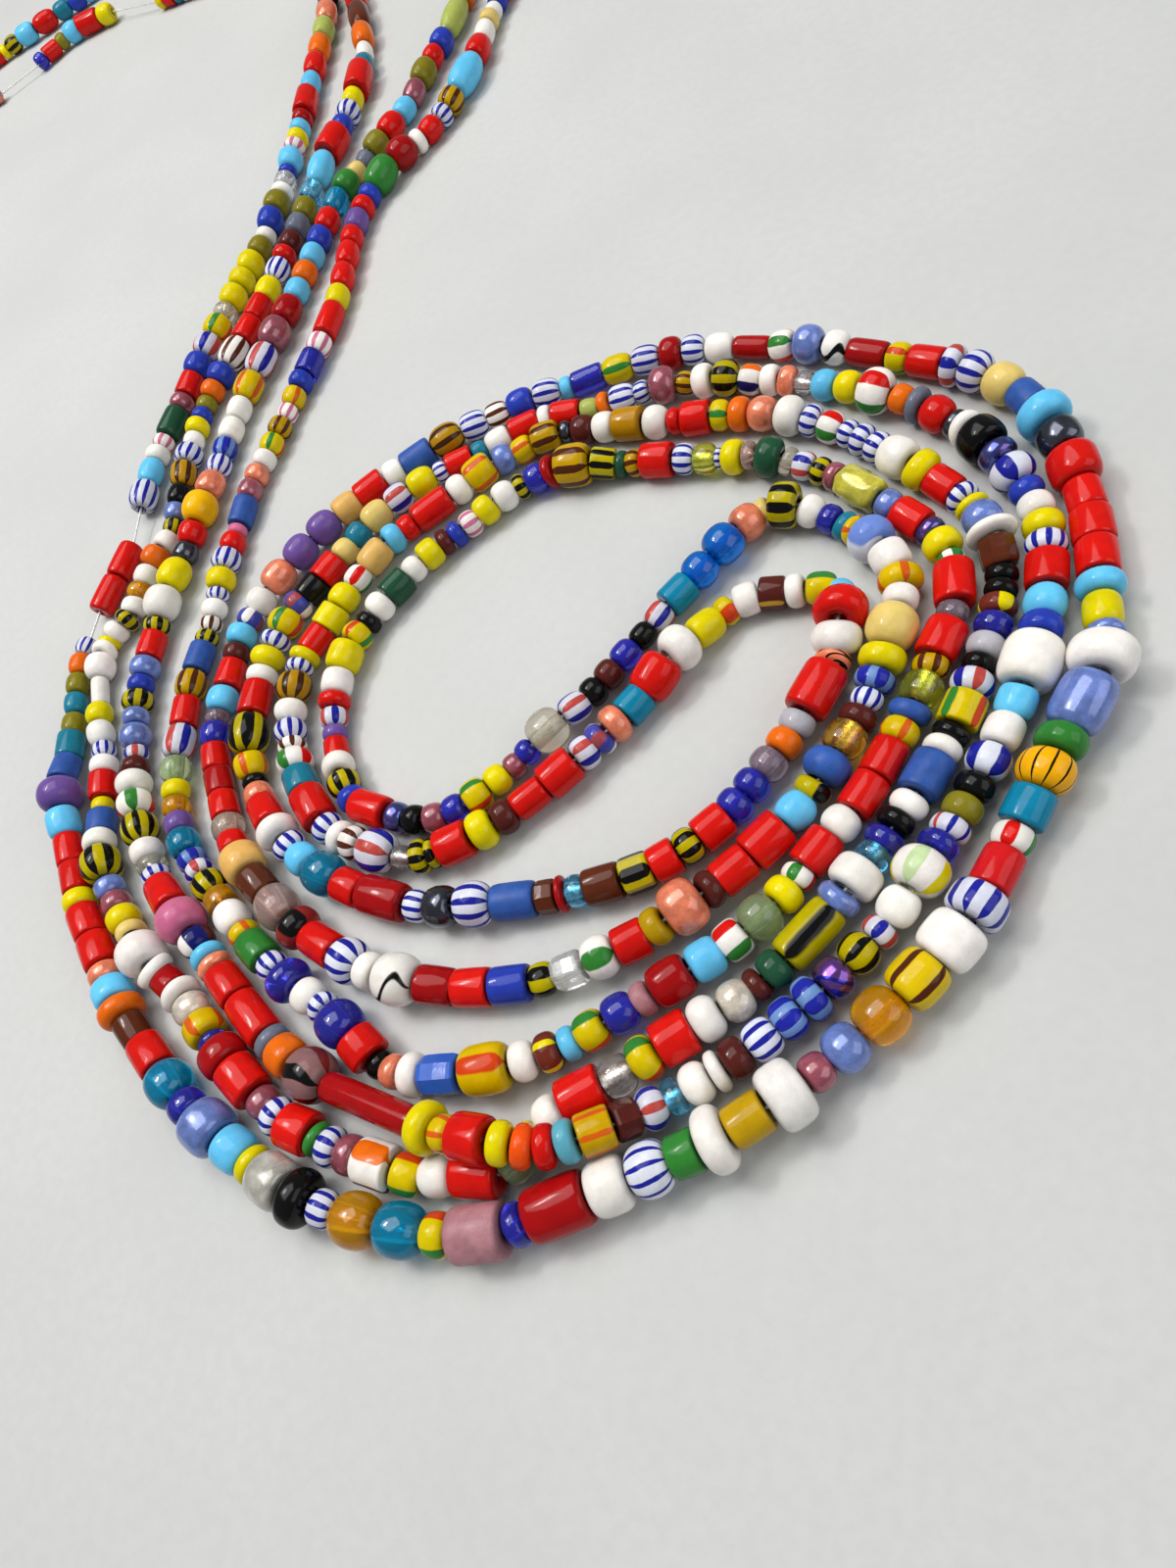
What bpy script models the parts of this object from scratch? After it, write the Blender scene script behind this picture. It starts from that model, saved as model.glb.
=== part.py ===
"""Waist beads: one closed strand of mixed glass beads on a clear thread, folded into four passes and laid out flat.
World metres, +Z up, +Y along the longest extent; working lengths are in millimetres."""
import math

import bpy
import numpy as np
from mathutils import Matrix, Vector

for item in list(bpy.data.objects):
    bpy.data.objects.remove(item, do_unlink=True)

MM = 0.001

# The view that the chart was sighted through, in picture units, degrees and millimetres.
FOCAL = 1000.0
FRAME_MID = (600.0, 800.0)
TILT = math.radians(57.5)
ROLL = math.radians(40.0)
VIEW_H = 96.3
AXIS_H = 2.1

# Sizes are charted against an even fall-off of scale over the view.
CHART_SCALE = 8.76
CHART_FALL = (0.469 / 1622.0, 0.883 / 1622.0)

THREAD_R = 0.3
CLEAR = 0.32

# Outer diameter of each size, in millimetres.
SIZES = {"5": 2.5, "6": 2.9, "7": 3.3, "8": 3.8, "9": 4.3, "a": 4.8, "b": 5.4, "c": 6.0, "d": 6.6, "e": 7.2}

# Length over diameter, end radius over radius, and half the length of the full-width middle over the length.
SHAPES = {
    "t": (1.00, 0.96, 0.44),
    "l": (1.35, 0.96, 0.45),
    "z": (2.90, 0.96, 0.47),
    "f": (1.00, 0.88, 0.34),
    "w": (1.30, 0.80, 0.34),
    "b": (0.84, 0.80, 0.28),
    "o": (0.68, 0.70, 0.16),
    "d": (0.48, 0.80, 0.22),
    "r": (0.88, 0.50, 0.10),
}

# Where one pass lies over another: picture position of the middle, reach in millimetres, height of the axis.
OVERPASS = (508.0, 1172.0, 16.0, 6.8)

# How much wider the far left beads are than their chart, which was sighted through blur: the most, and where it
# starts and is full, down the picture.
FAR_WIDTH = (0.18, 520.0, 240.0)

REPEAT = "rdt8 who8 lbo8 yeo8 rdt8 bko8 who8 rbo8 coo8 yeo8 rdt8 teo8 who8 oro8"


def laid(x, y, z=AXIS_H):
    """Plan position, in millimetres, of what is sighted at x, y and lies at height z."""
    u, v = x - FRAME_MID[0], y - FRAME_MID[1]
    across = (u * math.cos(ROLL) - v * math.sin(ROLL)) / FOCAL
    down = (u * math.sin(ROLL) + v * math.cos(ROLL)) / FOCAL
    depth = (VIEW_H - z) / (math.sin(TILT) + down * math.cos(TILT))
    return depth * across, depth * (math.cos(TILT) - down * math.sin(TILT)), depth


def true_size(x, y):
    """How a charted size scales to millimetres at a sighted spot."""
    even = CHART_SCALE * (1.0 + (x - FRAME_MID[0]) * CHART_FALL[0] + (y - FRAME_MID[1]) * CHART_FALL[1])
    return even * laid(x, y)[2] / FOCAL


def lift_at(place):
    """How much higher than the table the upper pass runs at a plan position, or at each of several."""
    over = np.array(laid(*OVERPASS[:2], OVERPASS[3])[:2])
    away = np.linalg.norm(place - over, axis=-1)
    return (OVERPASS[3] - 2.0) * np.maximum(0.0, 1.0 - (away / OVERPASS[2]) ** 2)


def bead_of(code, scale):
    """Colour, shape, length, diameter of one charted bead."""
    if code.startswith("gap"):
        return "gap", "gap", float(code[3:]), 2.0 * THREAD_R
    diameter = SIZES[code[3]] * scale
    return code[:2], code[2], SHAPES[code[2]][0] * diameter, diameter


def curve_part(p0, p1, p2, p3, steps=24):
    """Smooth stretch from p1 to p2, eased by the spots before and after."""
    t1 = max(1e-6, np.linalg.norm(p1 - p0)) ** 0.5
    t2 = t1 + max(1e-6, np.linalg.norm(p2 - p1)) ** 0.5
    t3 = t2 + max(1e-6, np.linalg.norm(p3 - p2)) ** 0.5
    t = np.linspace(t1, t2, steps + 1)[:, None]
    a1 = (t1 - t) / t1 * p0 + t / t1 * p1
    a2 = (t2 - t) / (t2 - t1) * p1 + (t - t1) / (t2 - t1) * p2
    a3 = (t3 - t) / (t3 - t2) * p2 + (t - t2) / (t3 - t2) * p3
    b1 = (t2 - t) / t2 * a1 + t / t2 * a2
    b2 = (t3 - t) / (t3 - t1) * a2 + (t - t1) / (t3 - t1) * a3
    return (t2 - t) / (t2 - t1) * b1 + (t - t1) / (t2 - t1) * b2


def strung():
    """Beads in order round the strand, and the plan position of the joint before each."""
    spots, runs, wider = [], [], []
    for name, rows, plain in PASSES:
        for x, y, row in rows:
            full = min(1.0, max(0.0, (FAR_WIDTH[1] - y) / (FAR_WIDTH[1] - FAR_WIDTH[2])))
            wider.append(1.0 + FAR_WIDTH[0] * full if name.startswith("far_left") else 1.0)
            if plain:
                spots.append((x, y))
                runs.append((name, REPEAT.split(), 1.0, True))
                continue
            rise = lift_at(np.array(laid(x, y)[:2])) if name == "near_3" else 0.0
            spots.append(laid(x, y, AXIS_H + rise)[:2])
            runs.append((name, row.split(), true_size(x, y), False))
    spots = np.array(spots, float)
    count = len(spots)
    beads, joints = [], []
    spare = 0
    for i in range(count):
        part = curve_part(spots[i - 1], spots[i], spots[(i + 1) % count], spots[(i + 2) % count])
        walk = np.r_[0.0, np.cumsum(np.linalg.norm(np.diff(part, axis=0), axis=1))]
        name, codes, scale, plain = runs[i]
        if plain or not codes:
            row, filled = [], 0.0
            while filled < walk[-1] - 1.2:
                row.append(bead_of(REPEAT.split()[spare % 14], 1.0))
                filled += row[-1][2]
                spare += 1
        else:
            row = [bead_of(code, scale) for code in codes]
        stretch = walk[-1] / sum(bead[2] for bead in row)
        at = 0.0
        for colour, shape, length, diameter in row:
            joints.append((np.interp(at, walk, part[:, 0]), np.interp(at, walk, part[:, 1])))
            at += length * stretch
            beads.append((name, colour, shape, length * stretch, diameter if colour == "gap" else diameter * wider[i]))
        FACTORS.append((name, runs[i][1], stretch, walk[-1]))
    return beads, np.array(joints)


FACTORS = []


def settled(beads, plan, rounds=300):
    """Joints of the strand once its passes lie on the table beside each other and not through each other."""
    count = len(beads)
    follow = (np.arange(count) + 1) % count
    radius = np.array([bead[4] / 2.0 for bead in beads])
    lip = radius * np.array([SHAPES[bead[2]][1] if bead[2] in SHAPES else 1.0 for bead in beads])
    want = np.array([bead[3] for bead in beads])
    low = np.maximum(lip, np.roll(lip, 1))
    raised = np.array([bead[0] == "near_3" for bead in beads])
    raised |= np.roll(raised, 1)
    hold = low + np.where(raised, 0.9 * lift_at(plan), 0.0)
    J = np.column_stack([plan, hold])
    home = plan.copy()
    share = np.array([0.08, 0.5, 0.92])
    owner = np.repeat(np.arange(count), 3)
    t = np.tile(share, count)
    r = np.column_stack([lip, radius, lip]).reshape(-1)
    P = (1 - t)[:, None] * J[owner] + t[:, None] * J[follow[owner]]
    first, second = [], []
    for k in range(0, len(P), 400):
        near = np.linalg.norm(P[k:k + 400, None, :2] - P[None, :, :2], axis=2)
        a, b = np.nonzero(near < r[k:k + 400, None] + r[None, :] + 4.0)
        a = a + k
        apart = np.abs(owner[a] - owner[b])
        apart = np.minimum(apart, count - apart)
        keep = (b > a) & (apart > 2)
        first.append(a[keep])
        second.append(b[keep])
    first, second = np.concatenate(first), np.concatenate(second)
    need = r[first] + r[second] + CLEAR
    worst = 0.0
    for turn in range(rounds):
        along = J[follow] - J
        along /= np.linalg.norm(along, axis=1)[:, None]
        P = (1 - t)[:, None] * J[owner] + t[:, None] * J[follow[owner]]
        gap = P[second] - P[first]
        ta, tb = along[owner[first]], along[owner[second]]
        dot = (ta * tb).sum(1)
        mean = ta + tb * np.sign(dot)[:, None]
        mean /= np.linalg.norm(mean, axis=1)[:, None] + 1e-9
        beside = np.abs(dot) > 0.75
        slide = (gap * mean).sum(1)
        side = np.where(beside[:, None], gap - slide[:, None] * mean, gap)
        target = np.where(beside, np.sqrt(np.maximum(0.0, need ** 2 - (1.6 * slide) ** 2)), need)
        dist = np.linalg.norm(side, axis=1)
        push = target - dist
        hit = push > 0
        worst = push.max()
        shove = side[hit] / (dist[hit][:, None] + 1e-9) * (push[hit] * 0.5)[:, None]
        move, tally = np.zeros((count, 3)), np.zeros(count)
        for spot, sign in ((first[hit], -1.0), (second[hit], 1.0)):
            for joint, weight in ((owner[spot], 1 - t[spot]), (follow[owner[spot]], t[spot])):
                np.add.at(move, joint, shove * (sign * weight)[:, None])
                np.add.at(tally, joint, weight)
        J += move / np.maximum(1.0, tally * 0.6)[:, None] * 1.2
        late = turn > rounds * 0.75
        for _ in range(2):
            along = J[follow] - J
            length = np.linalg.norm(along, axis=1)
            pull = along / length[:, None] * ((length - want) * 0.4)[:, None]
            np.add.at(J, np.arange(count), pull)
            np.add.at(J, follow, -pull)
        middle = 0.5 * (np.roll(J, 1, 0) + np.roll(J, -1, 0))
        J += (middle - J) * (0.02 if late else 0.10)
        J[:, :2] += (home - J[:, :2]) * (0.005 if late else 0.04)
        J[:, 2] -= 0.0 if turn > rounds * 0.92 else 0.05
        for _ in range(2):
            short = np.maximum(0.0, radius - 0.5 * (J[:, 2] + J[follow, 2]))
            rise = np.zeros(count)
            np.add.at(rise, np.arange(count), short * 0.6)
            np.add.at(rise, follow, short * 0.6)
            J[:, 2] = np.maximum(J[:, 2] + rise, hold)
    WORST.append(worst)
    return J


WORST = []
# Runs of the strand: each row gives where a run starts, as sighted, and its beads by colour, shape and size.
RUN_COLUMNS = ("x", "y", "beads")
FAR_LEFT_OUT = [
    (338, -4, "bkd9 coo9 lio9 oro9 rdo9 lbo8"),
    (316, 97, "rdt9 crd8 lbd8 yed8 wpd8"),
    (300, 158, "lbr9 rbd7 cco8 whd8"),
    (288, 202, "olo9 rbo9 whd7 olo8"),
    (263, 263, "yer9 yeo9 yer9"),
    (234, 316, "cfd8 yro9 wto9 rbo9"),
    (198, 386, "rdt8 mmo8"),
    (183, 420, "dgl8 wpo7 who8"),
    (156, 473, "lbo8 wbo9"),
    (145, 521, "gap5"),
    (139, 556, "rdl8 rdl8"),
    (100, 624, "gap4"),
]
LEFT_OUT = [
    (84, 650, "wbo6 oro7 olo7"),
    (76, 707, "teo7 olo7"),
    (74, 748, "ett8 mbt8"),
    (66, 801, "purc"),
    (64, 830, "lbb9"),
    (67, 856, "rdt8 rdt8"),
    (78, 914, "yeo9"),
    (84, 930, "rdt9 rdt9"),
    (107, 987, "coo9 lbba"),
    (126, 1024, "ordb brt8"),
    (144, 1067, "rdt9"),
    (165, 1095, "ttrb tbo9"),
    (204, 1141, "pwbc"),
    (229, 1166, "lbba yed9"),
    (268, 1192, "scbb"),
    (301, 1214, "bkdc wbo8"),
]
NEAR_OUT = [
    (343, 1246, "amrb ttrb"),
    (434, 1262, "yro9"),
    (462, 1254, "dplb"),
    (518, 1243, "tbo9"),
    (540, 1236, "crlb"),
    (604, 1217, "whbb wbrb"),
    (687, 1183, "grt9"),
    (717, 1169, "whdd mut9"),
    (788, 1136, "whbd"),
    (824, 1108, "mmo8"),
    (849, 1087, "pwra"),
    (883, 1059, "amrb"),
    (921, 1022, "ynbb"),
    (958, 985, "whbc"),
    (986, 943, "wbbc"),
    (1007, 911, "rdt9"),
    (1026, 869, "wro9"),
    (1038, 843, "ttta"),
    (1054, 808, "akrc"),
    (1074, 772, "grdb"),
    (1083, 746, "pwbc"),
    (1110, 693, "whde"),
    (1122, 656, "pwd9"),
]
RIGHT_OUT = [
    (1124, 641, "yeb9"),
    (1123, 607, "lbdb"),
    (1123, 586, "rdta rdta rdt9"),
    (1105, 492, "rdbc"),
    (1092, 461, "heob"),
    (1074, 437, "lbdd"),
    (1059, 417, "mbt9"),
    (1046, 396, "icrb"),
    (1013, 383, "wbrb"),
    (985, 375, "wtob"),
    (966, 373, "rdt9 yro9 crl8"),
    (868, 355, "wkra pwrb"),
    (812, 352, "wro9 crl7"),
    (750, 350, "whr9 wbo9"),
    (697, 358, "crda wbo9"),
    (646, 369, "yro9"),
    (616, 380, "tbt8 lbd7"),
    (571, 396, "wbo9 rbo9"),
    (518, 415, "wno8 wbo9"),
    (471, 440, "anra mbt9"),
    (412, 478, "who9 rdt9"),
]
INNER_LEFT_OUT = [
    (364, 507, "tnb9 pura pura cora"),
    (273, 603, "whr9 bmo8"),
    (247, 640, "lbo9 mao8"),
    (239, 675, "rdt8"),
    (231, 703, "lbo9 mcd7"),
    (219, 740, "tbo9"),
    (216, 763, "rdt8 crt8 rdt8"),
    (230, 836, "kcd9"),
    (235, 857, "rdt8"),
    (242, 872, "tnbb brt9"),
    (274, 915, "pcrb"),
    (296, 945, "kndb"),
    (315, 957, "rdt9"),
    (345, 977, "wbrb"),
    (370, 993, "who9"),
    (388, 1002, "wkrc"),
]
INNER_NEAR_OUT = [
    (428, 1010, "crt9 rdt9"),
    (502, 1012, "rbt9"),
    (541, 1008, "kyo8"),
    (566, 1000, "ccf8"),
    (597, 987, "wrra"),
    (630, 974, "rdt9"),
    (662, 957, "mud9"),
    (683, 943, "codc"),
    (718, 916, "mad9"),
    (735, 903, "rdt9 rdta"),
    (804, 844, "lbr9"),
    (828, 814, "kyd9"),
    (838, 797, "mbrb"),
    (858, 770, "asoa"),
    (874, 741, "mad9"),
    (883, 722, "wbo8"),
    (889, 703, "bwda"),
    (901, 685, "yedb"),
    (908, 662, "icrc"),
]
HOOK_OUT = [
    (926, 623, "who9"),
    (927, 603, "yodb"),
    (922, 583, "whba"),
    (906, 561, "wbrc"),
    (879, 545, "yod8"),
    (870, 537, "teo8"),
    (856, 530, "tbo8"),
    (839, 522, "whr9"),
    (815, 516, "ykbc"),
    (787, 513, "icd7"),
    (772, 520, "coda"),
    (752, 542, "ubrb ubra"),
    (705, 594, "ttt9"),
    (680, 616, "wto8"),
    (663, 636, "bko7"),
    (648, 656, "tbo8"),
    (629, 677, "mao8"),
    (614, 697, "bko8"),
    (599, 714, "wto8"),
    (577, 736, "cfrb"),
    (544, 761, "tbo7 mmo7"),
    (515, 789, "yeo8 yro9"),
    (474, 824, "tbo8 mmo8"),
    (430, 841, "bko8 iio8"),
    (393, 834, "rdt9"),
    (359, 827, "rbo8"),
]
INNER_LEFT_IN = [
    (350, 815, "yko9"),
    (345, 795, "who9"),
    (342, 776, "rdt7 puo7"),
    (339, 742, "wto8 rdd9"),
    (341, 710, "whb9"),
    (345, 686, "yeba"),
    (356, 658, "yro9"),
    (370, 641, "bko8"),
    (379, 628, "whr9"),
    (395, 610, "dgt9"),
    (414, 588, "whr8"),
    (430, 573, "yeb9"),
    (446, 556, "mao8 rbo8"),
    (472, 541, "wpo8"),
    (487, 528, "yeo9"),
    (504, 513, "whr9"),
    (524, 497, "yko8"),
    (535, 489, "tbo9"),
]
FAR_IN = [
    (557, 483, "crda"),
    (569, 480, "ynbc"),
    (604, 475, "ykt9"),
    (628, 473, "dgd8"),
    (640, 472, "yno8"),
    (656, 471, "rdta"),
    (688, 470, "wbo9"),
    (709, 468, "oso9"),
    (731, 467, "wbd6"),
    (739, 467, "yeda"),
    (760, 467, "pco8"),
    (774, 466, "dgob"),
    (800, 467, "cfo8"),
    (813, 470, "wto8"),
    (833, 475, "yko8"),
    (848, 481, "mmo8"),
    (861, 488, "yswa"),
    (900, 511, "pwo8"),
    (918, 521, "rdt9"),
    (948, 537, "iio8"),
]
RIGHT_IN = [
    (960, 547, "yeda"),
    (972, 566, "gwo7"),
    (977, 577, "rdta"),
    (982, 618, "mco8"),
    (982, 637, "rdta"),
    (961, 671, "yno9"),
    (953, 690, "osoa"),
    (936, 718, "mbda"),
    (926, 735, "yoo9"),
    (914, 757, "rdt9 rdt9"),
    (875, 830, "whr9"),
    (857, 857, "rdt9"),
    (829, 890, "wro8"),
    (813, 904, "yeo9"),
    (795, 925, "pgra"),
    (763, 951, "wrb9"),
    (738, 971, "lbb9"),
    (706, 991, "crba"),
    (666, 1012, "dpo8"),
]
NEAR_IN = [
    (648, 1025, "tbo9"),
    (618, 1044, "yro9"),
    (590, 1062, "lbo8"),
    (572, 1072, "xyo9"),
    (549, 1083, "whr9"),
    (522, 1092, "yrbb"),
    (474, 1100, "rbf9"),
    (433, 1103, "whra"),
    (410, 1103, "coo8"),
    (391, 1100, "bko7"),
    (378, 1089, "rdta"),
    (364, 1063, "tbrb"),
    (337, 1037, "wbo8"),
    (325, 1026, "whr9"),
    (307, 1009, "tbrb"),
    (288, 995, "wbo8"),
    (271, 984, "grt9"),
    (253, 961, "yoo8"),
    (244, 949, "whr9"),
    (230, 925, "amt8"),
    (222, 912, "yko9"),
    (207, 897, "wto8"),
]
LEFT_IN = [
    (199, 885, "bwo8"),
    (190, 874, "tto9"),
    (181, 853, "puo8"),
    (178, 834, "amo8 yeo8"),
    (177, 800, "pgr9"),
    (181, 775, "wto9"),
    (184, 743, "rdt8"),
    (192, 714, "yno9"),
    (198, 687, "mbt8"),
    (207, 658, "yko7 wno7"),
    (217, 630, "whr8 wbo7"),
    (223, 602, "yeo9"),
    (228, 583, "wbo9 rdo8 pkd6"),
    (243, 536, "mbt8 mmo8"),
    (256, 492, "coo8 who8"),
    (274, 462, "yro8 yno8"),
    (289, 428, "wpo7 yoo8"),
]
FAR_LEFT_IN = [
    (303, 397, "rbo8 tbt8"),
    (322, 361, "wpo8"),
    (332, 343, "rdt8 yeo8"),
    (349, 294, "rdo8 rdo8 rdd8"),
    (360, 236, "puo8 rdd8"),
    (373, 206, "rbd8 grra"),
    (399, 168, "crra whd8"),
    (433, 141, "rdo8 wbd8"),
    (457, 113, "yno9"),
    (468, 97, "lbra"),
    (488, 62, "rdo9"),
    (492, 42, "who8 icd8 whd7"),
    (505, 6, "rbo8"),
    (512, -6, ""),
]

FAR_LEFT_3 = [
    (476, -6, "oro9"),
    (473, 1, "lir9"),
    (458, 36, "rbo9 rdo8"),
    (438, 66, "olo9 mmo8"),
    (420, 104, "lbo8 rdo9"),
    (395, 141, "olo9"),
    (378, 157, "gbd7 icd7"),
    (359, 181, "gro9"),
    (347, 198, "tto8 rdo8"),
    (330, 236, "rbo8 lbo8"),
    (316, 271, "oro8 lbo8"),
    (300, 307, "cro9"),
    (291, 330, "mmra"),
    (276, 356, "wto9"),
    (260, 384, "yoo9"),
    (247, 409, "who8 who8"),
    (231, 450, "bwo8 wbo8"),
    (222, 485, "coo9"),
    (213, 508, "amrb"),
    (204, 536, "rdo9"),
    (193, 556, "heo8"),
    (184, 574, "yera"),
    (174, 604, "whrb"),
]
LEFT_3 = [
    (162, 634, "ykd8"),
    (158, 648, "rdt8"),
    (150, 674, "pwo9"),
    (145, 693, "rbo8"),
    (140, 709, "yko9"),
    (138, 727, "pwo8"),
    (138, 742, "pwr9"),
    (138, 763, "wto7 mao8"),
    (138, 792, "whra"),
    (137, 813, "wrra"),
    (139, 836, "ykra"),
    (147, 862, "who9"),
    (152, 880, "cfd8"),
    (155, 891, "wbo8"),
    (160, 905, "rdt9"),
    (178, 934, "pkrc"),
    (197, 957, "bxo9"),
    (210, 972, "lbd9 cod9"),
    (225, 993, "rdt9 rdl9"),
    (272, 1062, "gbd9"),
    (283, 1073, "orba"),
    (303, 1093, "pmrc"),
]
NEAR_3 = [
    (337, 1117, "crz7"),
    (428, 1148, "yedb"),
    (443, 1162, "yoo8"),
    (462, 1171, "rdta"),
    (495, 1181, "yed9"),
    (516, 1185, "ord9 rdd9"),
    (561, 1177, "ted9"),
    (583, 1168, "yot9"),
    (622, 1154, "maf8"),
    (649, 1138, "wtr9"),
    (681, 1125, "lso8"),
    (699, 1116, "whr9"),
    (728, 1101, "whd9"),
    (742, 1092, "mao9"),
    (766, 1075, "wbo9"),
    (791, 1049, "bwo9"),
    (816, 1028, "bwda"),
    (838, 1010, "pio9"),
    (862, 986, "ykr9"),
    (889, 960, "wto8"),
    (905, 943, "whr9"),
]
RIGHT_3 = [
    (928, 910, "wyrc"),
    (955, 874, "tbo9"),
    (967, 857, "wto9"),
    (979, 838, "olo9"),
    (990, 814, "bko9"),
    (1000, 792, "wbra"),
    (1016, 762, "whb9"),
    (1031, 732, "lbb9"),
    (1042, 703, "whbd"),
    (1060, 655, "rboa"),
    (1065, 631, "lbra"),
    (1070, 599, "rdta"),
    (1072, 565, "wboa"),
    (1071, 545, "yeda"),
    (1067, 525, "who9"),
    (1058, 505, "rbo9"),
    (1046, 492, "wbrb"),
    (1025, 474, "iioa"),
    (1012, 461, "bkbc"),
    (995, 441, "whda"),
]
FAR_3 = [
    (983, 433, "heo8"),
    (972, 427, "rdra"),
    (945, 415, "gbda"),
    (933, 410, "oro8"),
    (911, 405, "wrrc"),
    (878, 400, "yer9"),
    (854, 394, "lbr9"),
    (831, 388, "sco7"),
    (813, 387, "coo9"),
    (795, 387, "who9"),
    (777, 387, "woo9"),
    (755, 385, "ykrb"),
    (728, 389, "whoa"),
    (708, 391, "yno7"),
    (691, 389, "mmrb"),
    (664, 398, "wbo7"),
    (648, 402, "wbo9"),
    (622, 411, "ord8"),
    (610, 414, "lio7"),
    (590, 420, "rdt8 whd8"),
    (549, 425, "rdt8"),
    (520, 441, "who8 ted7"),
    (482, 465, "rdt8"),
    (456, 476, "wbo7"),
]
INNER_LEFT_3 = [
    (443, 483, "yer9"),
    (417, 500, "wto9"),
    (395, 515, "icr9"),
    (371, 536, "teo8 ico8"),
    (345, 571, "rdt9"),
    (328, 594, "bkt9"),
    (310, 611, "bmo9"),
    (296, 624, "yrra"),
    (287, 648, "wbo9"),
    (278, 662, "yera"),
    (269, 681, "who9"),
    (264, 698, "rdt9"),
    (257, 732, "ykrb"),
    (253, 771, "yoo9"),
    (254, 794, "bko7"),
    (257, 804, "coo8"),
    (264, 821, "rdt9"),
    (282, 843, "whdb"),
    (291, 858, "wbo9"),
    (299, 872, "lbr9"),
]
INNER_NEAR_3 = [
    (316, 891, "ttrb"),
    (347, 904, "rdt9"),
    (371, 913, "crla"),
    (414, 927, "wbo8"),
    (436, 931, "heoa"),
    (468, 929, "wbrb"),
    (505, 924, "mbl9"),
    (550, 918, "brf8"),
    (571, 914, "crd9"),
    (580, 911, "lso8"),
    (599, 908, "brt9"),
    (637, 900, "kyf9"),
    (668, 888, "rdt9"),
    (694, 872, "yko9"),
    (715, 857, "rdt9"),
    (745, 834, "tbo9 tbo9"),
    (775, 790, "mco9"),
    (795, 769, "oro9"),
    (809, 748, "gyo9"),
]
HOOK_3 = [
    (821, 728, "rdlb"),
    (850, 682, "ckd9"),
    (857, 667, "whrc"),
    (867, 637, "rddd"),
    (873, 608, "lbd8"),
    (857, 597, "yro9"),
    (824, 602, "whd9"),
    (804, 603, "mgt9"),
    (777, 604, "whb9"),
    (750, 611, "yro8"),
    (735, 625, "yeb9"),
    (708, 650, "whrc"),
    (684, 674, "rdbb"),
    (658, 708, "ttt9"),
    (640, 732, "cooa"),
    (621, 747, "bmo9"),
    (606, 760, "wto9"),
    (588, 778, "rdta"),
    (557, 804, "rdl8"),
    (525, 828, "mao9"),
    (504, 843, "yeda"),
    (481, 858, "rdta"),
    (448, 871, "kyd8 yko9"),
    (420, 880, "sco6"),
    (402, 879, "wtrb"),
    (372, 866, "wno9"),
    (355, 857, "who9 wbr9"),
]
INNER_LEFT_2 = [
    (326, 843, "rdta"),
    (312, 812, "ett9"),
    (304, 790, "wrra"),
    (300, 769, "wno8"),
    (297, 758, "wbr9"),
    (294, 738, "whr9"),
    (298, 717, "anra"),
    (304, 689, "wbd8"),
    (306, 677, "yed9"),
    (312, 665, "rdt8"),
    (331, 643, "yet9"),
    (345, 622, "yeo9"),
    (357, 600, "wro8"),
    (369, 580, "tnb9"),
    (393, 556, "lbo9"),
    (407, 542, "rdo8 rdl9"),
    (460, 508, "whr9"),
    (477, 492, "yoba"),
    (502, 472, "pwr9"),
]
FAR_2 = [
    (523, 461, "yoo8"),
    (544, 449, "ynba"),
    (572, 440, "heo7"),
    (584, 438, "mao9"),
    (606, 436, "who9"),
    (628, 434, "amta"),
    (657, 433, "whra"),
    (682, 432, "rdo8"),
    (697, 429, "rdta"),
    (726, 425, "yro9"),
    (746, 422, "orda"),
    (766, 421, "cora"),
    (794, 423, "whrb"),
    (820, 428, "wbo9"),
    (838, 430, "wrr9"),
    (861, 437, "wbo8 wbo9 wbo9"),
    (903, 461, "whob"),
    (930, 478, "yedb"),
    (952, 487, "rdt9"),
    (980, 501, "wbr9"),
]
RIGHT_2 = [
    (991, 512, "yed9"),
    (999, 519, "pwra"),
    (1018, 540, "whdc"),
    (1024, 550, "brf9"),
    (1027, 577, "bko8 bko8"),
    (1024, 609, "xyo9"),
    (1022, 628, "tbo9"),
    (1017, 649, "gyo9"),
    (1010, 671, "bko8"),
    (1003, 687, "wtra"),
    (991, 711, "yrta"),
    (979, 742, "bko9"),
    (971, 757, "who9"),
    (962, 774, "mbta"),
    (936, 811, "whr9"),
    (920, 831, "bko9"),
    (908, 847, "tbo9"),
    (896, 866, "lso8"),
    (885, 884, "whbb"),
    (862, 911, "pwda"),
    (846, 926, "kyl9"),
    (807, 988, "dgo9"),
    (783, 1004, "mad8"),
    (767, 1014, "plr9"),
]
NEAR_2 = [
    (735, 1032, "whra"),
    (708, 1054, "rdta"),
    (672, 1076, "yrra"),
    (644, 1091, "sco9"),
    (614, 1108, "rdta"),
    (571, 1128, "whr9"),
    (546, 1148, "yeo8 pgr9"),
    (517, 1207, "rdta"),
    (470, 1210, "whr9"),
    (434, 1206, "yrb9"),
    (407, 1197, "wota"),
    (372, 1185, "mmo9"),
    (350, 1177, "wbo9"),
    (331, 1170, "grd8"),
    (321, 1164, "rdta"),
    (295, 1147, "wbo9"),
    (278, 1136, "mmo8"),
    (262, 1120, "rdta"),
    (240, 1090, "crbb"),
    (224, 1070, "tbd7"),
    (217, 1062, "yoba"),
]
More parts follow.
